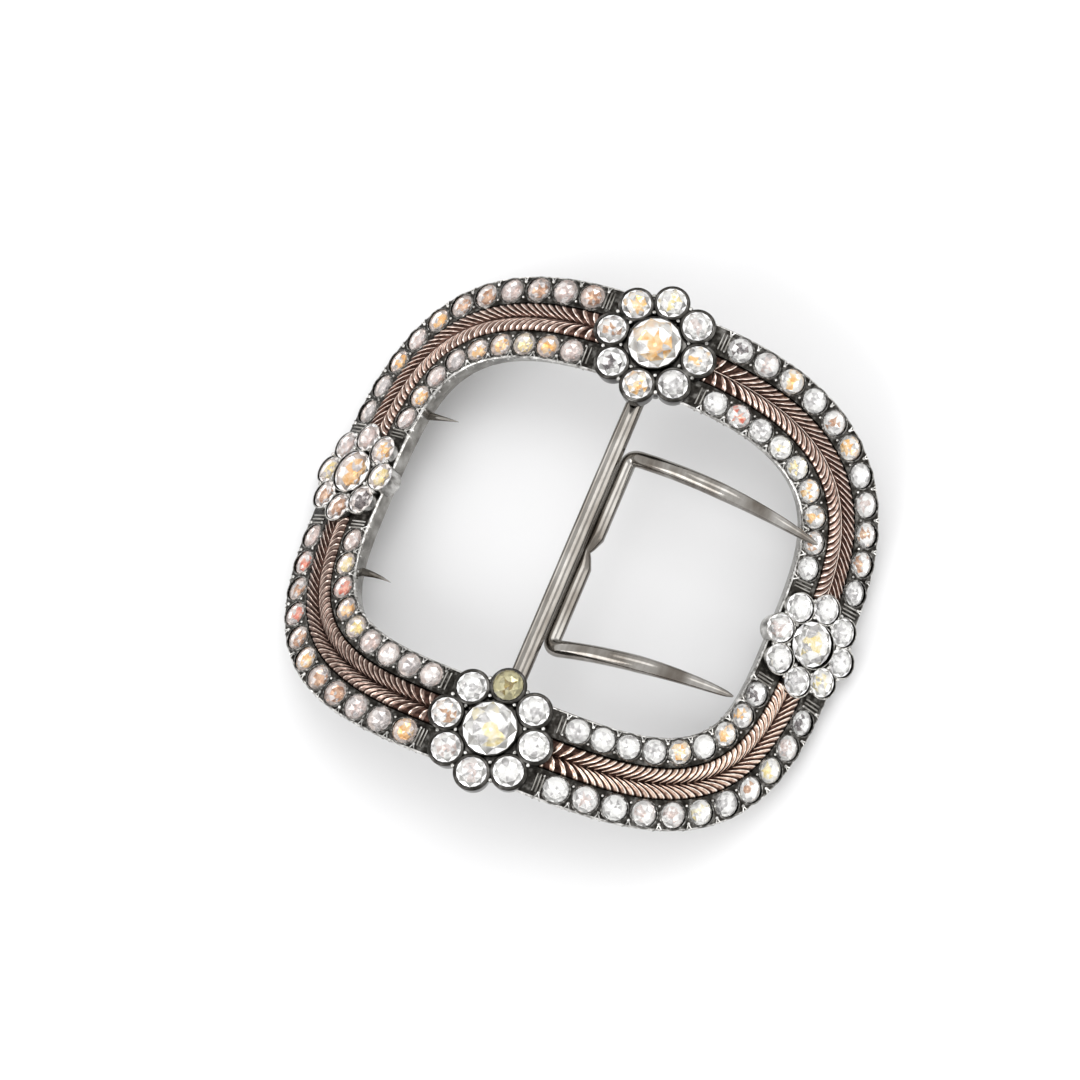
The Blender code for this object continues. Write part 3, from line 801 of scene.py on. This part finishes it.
def cut_stone(name, radius):
    """Round stone with table, kites and girdle facets over a foiled back, about its girdle's centre."""
    crown = CROWN_SHARE * radius
    kite_height = crown * (1 - KITE_SHARE * math.cos(EIGHTH)) / (1 - TABLE_SHARE)
    depth = PAVILION_SHARE * radius
    put_down()
    add_ring(radius * TABLE_SHARE, crown)
    piece = bpy.context.object
    open_up(piece)
    add_ring(radius * KITE_SHARE, kite_height, turn=EIGHTH)
    add_ring(radius, GIRDLE, 16)
    add_ring(radius, 0.0, 16)
    for share, deep, count, turn in BACK_RINGS:
        add_ring(radius * share, -deep * depth, count, turn)
    pick_all()
    bpy.ops.mesh.convex_hull()
    pick_all()
    bpy.ops.mesh.dissolve_limited(angle_limit=ONE_FACET)
    close_up(piece, name)
    for face in piece.data.polygons:
        face.use_smooth = False
        nearest = min(piece.data.vertices[index].co.xy.length for index in face.vertices)
        face.material_index = facet_kind(face, nearest / radius)
    return piece


def set_stone(pattern, name, tint_name, place, window, node_name=None):
    """A copy of a stone, turned and tipped a little as it was pressed into its seat."""
    lean = Euler([chance.uniform(-SEAT_TIP, SEAT_TIP) for _ in (X, Y)] + [chance.uniform(0, 1)])
    stone = copied(pattern, place @ lean.to_matrix().to_4x4(), name)
    _, slot, bright, changed = GLASSES[window]
    for face in stone.data.polygons:
        kind = changed.get(face.material_index, face.material_index)
        face.material_index = chance.choice(FOIL_CHOICE[kind])
    settle(stone, "setting", slot, window, bright, "pale_foil", "grey_foil", tint_name + "_foil")
    if node_name:
        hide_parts(node_name)


def set_row_stones():
    patterns = {radius: cut_stone("row_stone", radius) for radius in (OUTER_STONE, INNER_STONE)}
    for row, quarter, number, u, y, radius in row_places():
        name = f"{row}_stone_{quarter}_{number + 1}"
        tint_name = ROW_TINTS[row, quarter].split()[number]
        # The west stones' rose glass is painted shade
        window = "rose_glass" if "west" in quarter else "clear_glass"
        set_stone(patterns[radius], name, tint_name, instep_place(u, y, 0.0), window)
    throw_away(*patterns.values())


def set_rosette_stones():
    rise = ROSETTE_RISE + GIRDLE_LIFT
    for rosette in rosettes():
        name = rosette["name"]
        petal = cut_stone("petal_stone", rosette["petal"])
        centre = cut_stone("centre_stone", rosette["centre"])
        place = instep_place(rosette["u"], rosette["y"], rise + CENTRE_LIFT)
        # The west rosette's rose glass is painted shade
        window = "rose_glass" if "west" in name else "clear_glass"
        centre_tint, *petal_tints = ROSETTE_TINTS[name].split()
        set_stone(centre, name + "_centre_stone", centre_tint, place, window, name + "_centre")
        for number, u, y in around(rosette, rosette["circle"]):
            label = f"{name}_petal_{number + 1}"
            tint_name = petal_tints[number]
            glass_name, lift = ("olive_glass", PROUD_LIFT) if tint_name == "olive" else (window, 0.0)
            set_stone(petal, label + "_stone", tint_name, instep_place(u, y, rise + lift), glass_name, label)
        throw_away(petal, centre)


# Rail
def straight_rail():
    """The rail as a straight bar with its channel, its rim edges broken and its walls undercut."""
    length = 4 * QUARTER
    rail = box((length, 2 * OUTER_RIM, RAIL_DEPTH), (0.5 * length, 0.0, -0.5 * RAIL_DEPTH))
    open_up(rail)
    pick("verts", lambda vert: vert.co.y < 0)
    bpy.ops.transform.translate(value=(0, OUTER_RIM - INNER_RIM, 0))
    for side in (-CHANNEL_HALF, CHANNEL_HALF):
        cut_across((0, side, 0), ACROSS)
    pick("faces", lambda face: face.normal.z > FACING
         and abs(face.calc_center_median().y) < 0.5 * CHANNEL_HALF)
    sink(CHANNEL_DEPTH)
    pick("edges", lambda edge: all(abs(vert.co.z) < WELD for vert in edge.verts)
         and any(all(abs(vert.co.y - rim) < WELD for vert in edge.verts) for rim in (OUTER_RIM, -INNER_RIM)))
    bpy.ops.mesh.bevel(offset=RIM_CHAMFER, segments=3)
    for side, undercut in ((1, OUTER_UNDERCUT), (-1, INNER_UNDERCUT)):
        pick("verts", lambda vert: vert.co.z < WELD - RAIL_DEPTH and side * vert.co.y > CHANNEL_HALF + WELD)
        bpy.ops.transform.translate(value=(0, -side * undercut, 0))
    pick("faces", lambda face: abs(face.normal.x) > FACING)
    bpy.ops.mesh.delete(type="ONLY_FACE")
    divide(X, 0.5 * length, RAIL_STEPS - 1)
    return close_up(rail, "silver_rail")


def seat_cutter():
    """Straight-walled seats for all row stones, as one cutter."""
    seats = []
    for _, _, _, u, y, radius in row_places():
        depth = PAVILION_SHARE * radius + 4 * SEAT_ROOM
        seats.append(cylinder(SEAT_SIDES, radius + SEAT_ROOM, 2 * depth, (u, y, 0)))
    return joined(seats, "row_seats")


def make_rail():
    rail = moved(straight_rail(), on_rail)
    weld(rail, "silver_rail")
    cut_out(rail, seat_cutter())
    for face in rail.data.polygons:
        slope = 2 if face.normal.z > EDGE_FACING else 1
        face.material_index = 0 if face.normal.z > RAIL_TOP_FACING else slope
    moved(rail, over_instep)
    shade(rail, RAIL_CREASE)
    settle_silver(rail, "dark_silver", "wall_silver", "worn_silver")
    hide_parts("frame")


# Chasing on the rail
def grain(radius):
    put_down()
    bpy.ops.mesh.primitive_uv_sphere_add(segments=GRAIN_SIDES, ring_count=GRAIN_RINGS, radius=radius)
    piece = bpy.context.object
    open_up(piece)
    cut_across((0, 0, -GRAIN_CUT * radius), DOWN, use_fill=True, clear_outer=True)
    pick("verts", lambda vert: vert.co.z < -0.5 * GRAIN_CUT * radius)
    widen(GRAIN_FOOT)
    return close_up(piece, "grain", ROUND)


def make_row_grains():
    places = []
    for side, _, signs, point, normal in row_gaps():
        for reach, size in ((GRAIN_SIDE, 1.0), (-GRAIN_SIDE, INNER_GRAIN)):
            place = mirrored(signs, point + side * reach * normal, GRAIN_RISE * GRAIN_RADIUS)
            places.append(instep_place(*place) @ Matrix.Scale(size, 4))
    spread(grain(GRAIN_RADIUS), places, "row_grains", "worn_silver")


def spoke(bend):
    """A ridge from beside a grain out over the rim's edge; y runs outwards from the row's middle."""
    start = GRAIN_SIDE - SPOKE_ROOT * GRAIN_RADIUS
    reach = OUTER_STONE + RIM_MARGIN - start + SPOKE_OVERHANG
    piece = box((SPOKE_WIDTH, reach, 2 * SPOKE_HEIGHT), (0, start + 0.5 * reach, 0))
    open_up(piece)
    pick("faces", lambda face: face.normal.z > FACING)
    bpy.ops.transform.resize(value=(SPOKE_CREST, 1.0, 1.0))
    for share in SPOKE_CUTS:
        cut_across((0, start + share * reach, 0), ACROSS)
    close_up(piece, "spoke", CRISP)

    def rule(co):
        share = (co.y - start) / reach
        drop = SPOKE_FALL * max(0.0, (share - SPOKE_TURN) / (1 - SPOKE_TURN)) ** SPOKE_POWER
        return Vector((co.x + bend * share ** SPOKE_POWER, co.y, co.z - drop))
    return moved(piece, rule)


def make_spokes():
    patterns = [spoke(SPOKE_SPLAY), spoke(-SPOKE_SPLAY)]
    ridges = []
    for side, radius, signs, point, normal in row_gaps():
        trim = radius - OUTER_STONE
        across = Vector((normal.y, -normal.x))

        def rule(co):
            return over_instep(mirrored(signs, point + side * (co.y + trim) * normal + co.x * across, co.z))
        ridges += [moved(copied(pattern), rule) for pattern in patterns]
    throw_away(*patterns)
    settle_silver(turn_out(joined(ridges, "rim_spokes"), CRISP), "worn_silver")


def lip(radius):
    """Thin edge of metal pressed over a row stone's girdle."""
    put_down()
    bpy.ops.mesh.primitive_torus_add(major_radius=radius + LIP_OUT * LIP_WIRE, minor_radius=LIP_WIRE,
                                     major_segments=LIP_SIDES, minor_segments=WIRE_SIDES)
    piece = bpy.context.object
    open_up(piece)
    cut_across((0, 0, -LIP_CUT * LIP_WIRE), DOWN, clear_outer=True)
    pick("verts", lambda vert: vert.co.z < 0 and vert.co.xy.length > radius)
    widen(LIP_SPREAD)
    pick("edges", lambda edge: edge.is_boundary)
    bpy.ops.mesh.bridge_edge_loops()
    return close_up(piece, "lip", EASED)


def make_lips():
    patterns = {radius: lip(radius) for radius in (OUTER_STONE, INNER_STONE)}
    lips = [copied(patterns[radius], instep_place(u, y, 0.5 * GIRDLE))
            for _, _, _, u, y, radius in row_places()]
    throw_away(*patterns.values())
    settle_silver(joined(lips, "row_lips"), "lip_silver")


def flute():
    """One rounded rib of the fluted panels; y runs across the rail."""
    piece = cylinder(FLUTE_SIDES, FLUTE_SHARE * FLUTE_PITCH, FLUTE_LENGTH, turn=ON_ITS_SIDE)
    open_up(piece)
    pick("edges", lambda edge: abs(edge.verts[0].co.y) > 0.5 * FLUTE_LENGTH - WELD and span(edge, Y) < WELD)
    bpy.ops.mesh.bevel(offset=FLUTE_ROUNDING * FLUTE_PITCH, segments=2)
    return close_up(piece, "flute", EASED)


def make_flutes():
    places = []
    for _, _, radius, line, runs in rows():
        end = line[-1][0]
        for reach, first in ((END_REACH, runs[0]), (SIDE_REACH, end - runs[-1])):
            edge = math.sqrt(reach ** 2 - ROW_OFFSET ** 2)
            space = first - radius - edge
            count = max(2, int(space / FLUTE_PITCH))
            for number in range(count):
                from_end = edge + space * (number + 0.5) / count
                point, normal = along(line, from_end if reach == END_REACH else end - from_end)
                turn = math.atan2(normal.y, normal.x) - 0.5 * math.pi
                for signs in QUARTERS.values():
                    spin = Matrix.Rotation(turn * signs[0] * signs[1], 4, "Z")
                    places.append(instep_place(*mirrored(signs, point)) @ spin)
    spread(flute(), places, "fluted_panels", "wall_silver")


# Rosette settings
def cup(name, radius, wall, taper):
    """Collar round a stone: a tapered cup with a rounded rim; its rim is at height 0."""
    piece = cylinder(COLLET_SIDES, radius + wall, COLLET_DEPTH, (0, 0, -0.5 * COLLET_DEPTH))
    open_up(piece)
    pick("faces", lambda face: face.normal.z < -FACING)
    bpy.ops.transform.resize(value=(taper, taper, 1.0), center_override=(0, 0, -COLLET_DEPTH))
    pick("faces", lambda face: face.normal.z > FACING)
    bpy.ops.mesh.inset(thickness=COLLET_LEDGE * wall)
    sink(1.5 * RIM_LAP)
    sink(PAVILION_SHARE * radius + 2 * RIM_LAP)
    widen(COLLET_FLOOR)
    pick("edges", lambda edge: all(abs(vert.co.z) < WELD and vert.co.xy.length > radius + 0.5 * wall
                                   for vert in edge.verts))
    bpy.ops.mesh.bevel(offset=COLLET_ROUNDING * wall, segments=4)
    return close_up(piece, name, EASED)


def web(rosette):
    """Floor of the rosette round its cups, open under the stones."""
    low = -ROOT_DEPTH
    high = ROSETTE_RISE - WEB_DROP
    u, y = rosette["u"], rosette["y"]
    reach = rosette["petal"] + rosette["wall"]
    half = rosette["circle"] * math.cos(EIGHTH)
    notch = half + math.sqrt(reach ** 2 - (rosette["circle"] * math.sin(EIGHTH)) ** 2)
    piece = cylinder(WEB_SIDES, notch - RIM_LAP, high - low, (u, y, 0.5 * (low + high)))
    open_up(piece)
    pick("edges", lambda edge: all(vert.co.z > high - WELD for vert in edge.verts))
    bpy.ops.mesh.bevel(offset=WEB_ROUNDING, segments=2)
    close_up(piece, "web", CRISP)
    holes = [cylinder(COLLET_SIDES, rosette["centre"], 4 * RAIL_DEPTH, (u, y, 0.0))]
    for _, petal_u, petal_y in around(rosette, rosette["circle"]):
        holes.append(cylinder(COLLET_SIDES, rosette["petal"], 4 * RAIL_DEPTH, (petal_u, petal_y, 0.0)))
    cut_out(piece, joined(holes, "stone_holes"))
    return moved(piece, over_instep)


def make_rosette_settings():
    for rosette in rosettes():
        rim = ROSETTE_RISE + GIRDLE_LIFT + rosette["lap"]
        petal = cup("petal_cup", rosette["petal"], rosette["wall"], COLLET_TAPER)
        centre = cup("centre_cup", rosette["centre"], CENTRE_WALL, 1.0)
        cups = [web(rosette), copied(centre, instep_place(rosette["u"], rosette["y"], rim + CENTRE_LIFT))]
        cups += [copied(petal, instep_place(u, y, rim)) for _, u, y in around(rosette, rosette["circle"])]
        throw_away(petal, centre)
        whole = joined(cups, rosette["name"] + "_setting")
        # Walls, rim tops and low top faces, by height over the arch, take the rosette's three finishes; at
        # the side rosettes this paints light on the walls and rims and shade on the low faces between the
        # cups
        for face in whole.data.polygons:
            up = Vector((face.center.x, 0.0, face.center.z - FLOOR_DROP + ARCH_RADIUS))
            top = 2 if up.length < ARCH_RADIUS + ROSETTE_RISE else 1
            face.material_index = 0 if face.normal.dot(up.normalized()) < TOP_FACING else top
        settle_silver(whole, *rosette["finishes"])
        make_rosette_grains(rosette)


def make_rosette_grains(rosette):
    half = rosette["circle"] * math.cos(EIGHTH)
    outer = half + OUTER_NOTCH * rosette["petal"]
    inner = 0.5 * (rosette["centre"] + half) - INNER_NOTCH * rosette["petal"]
    places = [instep_place(u, y, ROSETTE_RISE + GIRDLE_LIFT)
              for reach in (outer, inner) for _, u, y in around(rosette, reach, 0.5)]
    spread(grain(ROSETTE_GRAIN * GRAIN_RADIUS), places, rosette["name"] + "_grains", "worn_silver")


# Leaf bands
def band_height(offset):
    """Two rounded strips with a furrow between them."""
    across = (abs(offset) - 0.5 * BAND_HALF) / (STRIP_HALF * BAND_HALF)
    return BAND_LOW + (BAND_CREST - BAND_LOW) * math.sqrt(max(0.0, 1 - across ** 2))


def band_ground(name, first, last):
    """The strips' ground, closed underneath."""
    piece = box((last - first, 2 * BAND_HALF, CHANNEL_DEPTH + BAND_LOW), (0.5 * (first + last), 0, 0))
    open_up(piece)
    divide(X, 0.5 * (last - first), BAND_CUTS)
    divide(Y, BAND_HALF, GROUND_CUTS)
    close_up(piece, name)
    return moved(piece, lambda co: Vector((co.x, co.y, band_height(co.y) if co.z > 0 else -CHANNEL_DEPTH)))


def barb():
    """One ridge of the leaf: x across it, y from the vein (0) to the edge (1), z its foot (0) or top (1)."""
    piece = box((1, 1, 1), (0, 0.5, 0.5))
    open_up(piece)
    for across, _ in BARB_PROFILE[1:-1]:
        cut_across((across, 0, 0), ALONG)
    for number in range(1, BARB_CUTS):
        cut_across((0, number / BARB_CUTS, 0), ACROSS)
    close_up(piece, "barb")
    # Faces on the flat crest take the second gold: a painted highlight, partly rubbed wear
    for face in piece.data.polygons:
        bright = face.normal.z > FACING and CREST_HIGHLIGHT[0] < face.center.x < CREST_HIGHLIGHT[1]
        face.material_index = 1 if bright else 0
    return piece


def barb_height(across):
    """Share of a barb's rise at a place across it, from its low side (-0.5) to its steep side (0.5)."""
    for (left, low), (right, high) in zip(BARB_PROFILE, BARB_PROFILE[1:]):
        if across <= right + WELD:
            return low + (high - low) * (across - left) / (right - left)
    return BARB_PROFILE[-1][1]


def grown(growth, share):
    """A share that grows from its start until it is whole."""
    start, rate = growth
    return min(1.0, start + rate * share)


def barb_rule(start, side, sweep, last):
    """Where a barb's points lie on the straight rail: swept forward from the vein and turning outwards."""
    def rule(co):
        share = co.y
        reach = VEIN_HALF + (BAND_HALF - VEIN_HALF) * share
        swept = start + sweep * (1 - (1 - share) ** BARB_BEND)
        width = BARB_SHARE * BARB_PITCH * grown(BARB_WIDENING, share)
        fade = grown(ROOT_FADE, share) * grown(TIP_FADE, 1 - share)
        rise = BARB_RISE * barb_height(co.x) * fade - BARB_SINK if co.z > 0.5 else -BARB_FOOT
        return Vector((min(last, swept + co.x * width), side * reach, band_height(reach) + rise))
    return rule


def vein(name, first, last):
    """Fine ridge along the middle of the band."""
    piece = cylinder(VEIN_SIDES, VEIN_HALF, last - first, (0.5 * (first + last), 0, 0), ALONG_THE_RUN)
    open_up(piece)
    divide(X, 0.5 * (last - first), BAND_CUTS)
    close_up(piece, name, ROUND)
    return moved(piece, lambda co: co + Vector((0, 0, band_height(0.0) + VEIN_RISE * VEIN_HALF)))


def make_bands():
    first = END_REACH - BAND_LAP
    last = QUARTER - SIDE_REACH + BAND_LAP
    starts = evened(first, last - BARB_STOP * BARB_SWEEP, BARB_PITCH)
    pattern = barb()
    for quarter, signs in QUARTERS.items():
        ground = band_ground(f"leaf_{quarter}_ground", first, last)
        barbs = []
        # This quarter's body gold and painted crest highlight; the south-east body is painted light, the
        # south-west body painted shade
        clothe(pattern, *BAND_GOLDS_AND_LIGHT[quarter])
        for side in (1, -1):
            for number, start in enumerate(starts):
                sweep = BARB_SWEEP * min(1.0, (number + FAN_START) / FAN_BARBS)
                barbs.append(moved(copied(pattern), barb_rule(start, side, sweep, last)))
        rib = vein("vein", first, last)
        # The north-east vein takes the crest gold, a painted highlight; the other veins join the dark ground
        if quarter == "north_east":
            barbs.append(clothe(rib, BAND_GOLDS_AND_LIGHT[quarter][1]))
        else:
            ground = joined([ground, rib], ground.name)
        ridges = joined(barbs, f"leaf_{quarter}_barbs")
        clothe(ground, "gold_ground")
        for piece in (ground, ridges):
            moved(piece, in_quarter(signs))
            moved(piece, over_instep)
            turn_out(piece, EASED)
            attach(piece, "setting")
        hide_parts("leaf_band_" + quarter)
    throw_away(pattern)


# Bar, lugs, fork and spikes
def make_lugs():
    centre = LUG_START + 0.5 * LUG_REACH
    low = -BAR_DROP - BAR_RADIUS - BAR_CLEARANCE - LUG_FLOOR
    height = -ROOT_DEPTH - low
    for side, name in ((1, "north_lug"), (-1, "south_lug")):
        lug = box((LUG_WIDTH, LUG_REACH, height), (0, side * centre, 0.5 * (low - ROOT_DEPTH)))
        open_up(lug)
        pick("edges", lambda edge: span(edge, Z) > 0.5 * height)
        bpy.ops.mesh.bevel(offset=LUG_CORNER, segments=4)
        pick("edges", lambda edge: all(vert.co.z < low + WELD for vert in edge.verts))
        bpy.ops.mesh.bevel(offset=LUG_EDGE, segments=2)
        close_up(lug, name, CRISP)
        cut_out(lug, cylinder(BAR_SIDES, BAR_RADIUS + BAR_CLEARANCE, LUG_REACH,
                              (0, side * (centre - LUG_END_WALL), -BAR_DROP), ON_ITS_SIDE))
        moved(lug, over_instep)
        shade(lug, CREASE)
        settle_silver(lug, "wall_silver")


def wavered(co):
    """The unevenness of the bar's hand-drawn rod."""
    width = 1 - WAVER * math.sin(WIDTH_WAVES * co.y) ** 2
    height = 1 - WAVER * math.cos(HEIGHT_WAVES * co.y) ** 2
    return Vector((co.x * width, co.y, BAR_HEIGHT + (co.z - BAR_HEIGHT) * height))


def make_bar():
    half = LUG_START + LUG_REACH - LUG_END_WALL - BAR_CLEARANCE
    bar = cylinder(BAR_SIDES, BAR_RADIUS, 2 * half, (0, 0, BAR_HEIGHT), ON_ITS_SIDE)
    open_up(bar)
    divide(Y, half, BAR_CUTS)
    pick("faces", lambda face: abs(face.normal.y) > FACING)
    bpy.ops.mesh.bevel(offset=BAR_EDGE, segments=2)
    close_up(bar, "bar_rod", CRISP)
    moved(bar, wavered)
    settle(bar, "tongue", "pin_steel", "pin_metal")
    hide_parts("bar")


def bowed(corner, tip, share):
    point = corner.lerp(tip, share)
    point.z += 4 * PRONG_BOW * share * (1 - share)
    return point


def prong_route(way, tip):
    """Points and radius shares of half the fork, from its join round the corner to the tip."""
    apart = BAR_RADIUS + FORK_RADIUS + BAR_CLEARANCE
    back_x = apart * math.cos(FORK_SLOPE)
    back_z = BAR_HEIGHT - apart * math.sin(FORK_SLOPE)
    corner = Vector((back_x, way * FORK_HALF, back_z))
    route = []
    for run, inward, rise, thick in JOIN_SECTIONS:
        y = FORK_JOIN + way * run * FORK_RADIUS
        route.append((Vector((back_x - inward * FORK_RADIUS, y, back_z + rise * FORK_RADIUS)), thick))
    straight = route[-1][0]
    start = FORK_CORNER_RADIUS / (tip - corner).xy.length
    before = corner - Vector((0.0, way * FORK_CORNER_RADIUS, 0.0))
    after = bowed(corner, tip, start)
    route += [(straight.lerp(before, step / BACK_STEPS), 1.0) for step in range(1, BACK_STEPS)]
    for step in range(CORNER_STEPS + 1):
        share = step / CORNER_STEPS
        route.append((before.lerp(corner, share).lerp(corner.lerp(after, share), share), 1.0))
    for step in range(1, PRONG_STEPS + 1):
        share = start + (1 - start) * step / PRONG_STEPS
        left = min(1.0, (1 - share) / PRONG_TAPER)
        thick = max(TIP_RADIUS / FORK_RADIUS, left ** TAPER_POWER)
        route.append((bowed(corner, tip, share), thick))
    return route


def make_rod(name, route):
    """A round rod drawn along the route."""
    put_down()
    bpy.ops.curve.primitive_nurbs_path_add()
    rod = bpy.context.object
    rod.data.splines.clear()
    spline = rod.data.splines.new("POLY")
    spline.points.add(len(route) - 1)
    for target, (point, thick) in zip(spline.points, route):
        target.co = (*point, 1.0)
        target.radius = thick
    rod.data.dimensions = "3D"
    rod.data.bevel_depth = FORK_RADIUS
    rod.data.bevel_resolution = ROD_ROUNDNESS
    rod.data.use_fill_caps = True
    bpy.ops.object.convert(target="MESH")
    return weld(bpy.context.object, name, EASED)


def make_fork():
    for name, way, side, lap, height in FORK_HALVES:
        tip = over_instep(Vector((wall_spread(INNER_WALL_LINE, side) + lap, way * side, height)))
        rod = make_rod(name, prong_route(way, tip))
        settle(rod, "tongue", "pin_steel", "pin_metal")
        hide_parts("fork")


def make_spikes():
    """Two ridged points at the foot of the west wall."""
    level = -RAIL_DEPTH + 0.5 * SPIKE_HEIGHT
    root = 0.5 * (INNER_RIM - INNER_UNDERCUT - CHANNEL_HALF)
    for number, (place, hook) in enumerate(SPIKES):
        middle_y = place * HALF_LENGTH
        wall = -wall_spread(INNER_FOOT_LINE, middle_y)
        put_down()
        bpy.ops.mesh.primitive_cone_add(vertices=SPIKE_SIDES, radius1=0.5, radius2=SPIKE_TIP, depth=1.0,
                                        location=(0, 0, 0.5))
        piece = bpy.context.object
        bpy.ops.object.transform_apply()
        open_up(piece)
        for share in SPIKE_CUTS:
            cut_across((0, 0, share), UP)
        close_up(piece, f"spike_{number + 1}", CREASE)

        def rule(co):
            bend = hook * SPIKE_LENGTH * co.z ** 3
            reach = wall - root + co.z * (SPIKE_LENGTH + root)
            ridge = 1.0 + SPIKE_RIDGE * (co.x > RIDGE_START)
            return Vector((reach, middle_y + co.y * SPIKE_WIDTH + bend, level + co.x * SPIKE_HEIGHT * ridge))
        moved(piece, rule)
        moved(piece, over_instep)
        turn_out(piece, CREASE)
        settle_silver(piece, "pin_metal")


# Floor, camera and lights
def make_stage():
    put_down()
    bpy.ops.mesh.primitive_plane_add(size=FLOOR_SIZE)
    floor = bpy.context.object
    floor.name = "floor"
    material, shader = new_material("pale_floor", FLOOR_COLOUR, FLOOR_ROUGHNESS, 0.0)
    raise_surface(shader, cloud(shader, *FLOOR_GRAIN), *FLOOR_BUMP)
    floor.data.materials.append(material)


def add_light(name, place, size, power, colour=(1.0, 1.0, 1.0)):
    """A softbox that is aimed at the buckle."""
    data = bpy.data.lights.new(name, "AREA")
    data.shape = "RECTANGLE"
    data.size, data.size_y = size
    data.energy = power
    data.color = colour
    light = bpy.data.objects.new(name, data)
    light.location = place
    light.rotation_euler = (-Vector(place)).to_track_quat("-Z", "Y").to_euler()
    scene.collection.objects.link(light)


def make_lights():
    world = bpy.data.worlds.new("studio")
    world.use_nodes = True
    fill(world.node_tree.nodes["Background"], {"Color": (1.0, 1.0, 1.0, 1.0), "Strength": SKY_STRENGTH})
    scene.world = world
    scene.view_settings.view_transform = "Standard"
    for name, look in LIGHTS.items():
        add_light(name, *look)


def make_camera():
    data = bpy.data.cameras.new("camera")
    data.lens = LENS
    data.sensor_width = SENSOR
    data.sensor_fit = "HORIZONTAL"
    data.clip_start, data.clip_end = SEEN_RANGE
    camera = bpy.data.objects.new("camera", data)
    back = Vector(CAMERA_BACK).normalized()
    right = Vector(CAMERA_RIGHT).normalized()
    up = back.cross(right).normalized()
    turn = Matrix((right, up, back)).transposed()
    camera.matrix_world = Matrix.Translation(CAMERA_PLACE) @ turn.to_4x4()
    scene.collection.objects.link(camera)
    scene.camera = camera


make_rail()
make_row_grains()
make_spokes()
make_lips()
make_flutes()
make_rosette_settings()
set_row_stones()
set_rosette_stones()
make_bands()
make_lugs()
make_bar()
make_fork()
make_spikes()
make_stage()
make_lights()
make_camera()
put_down()
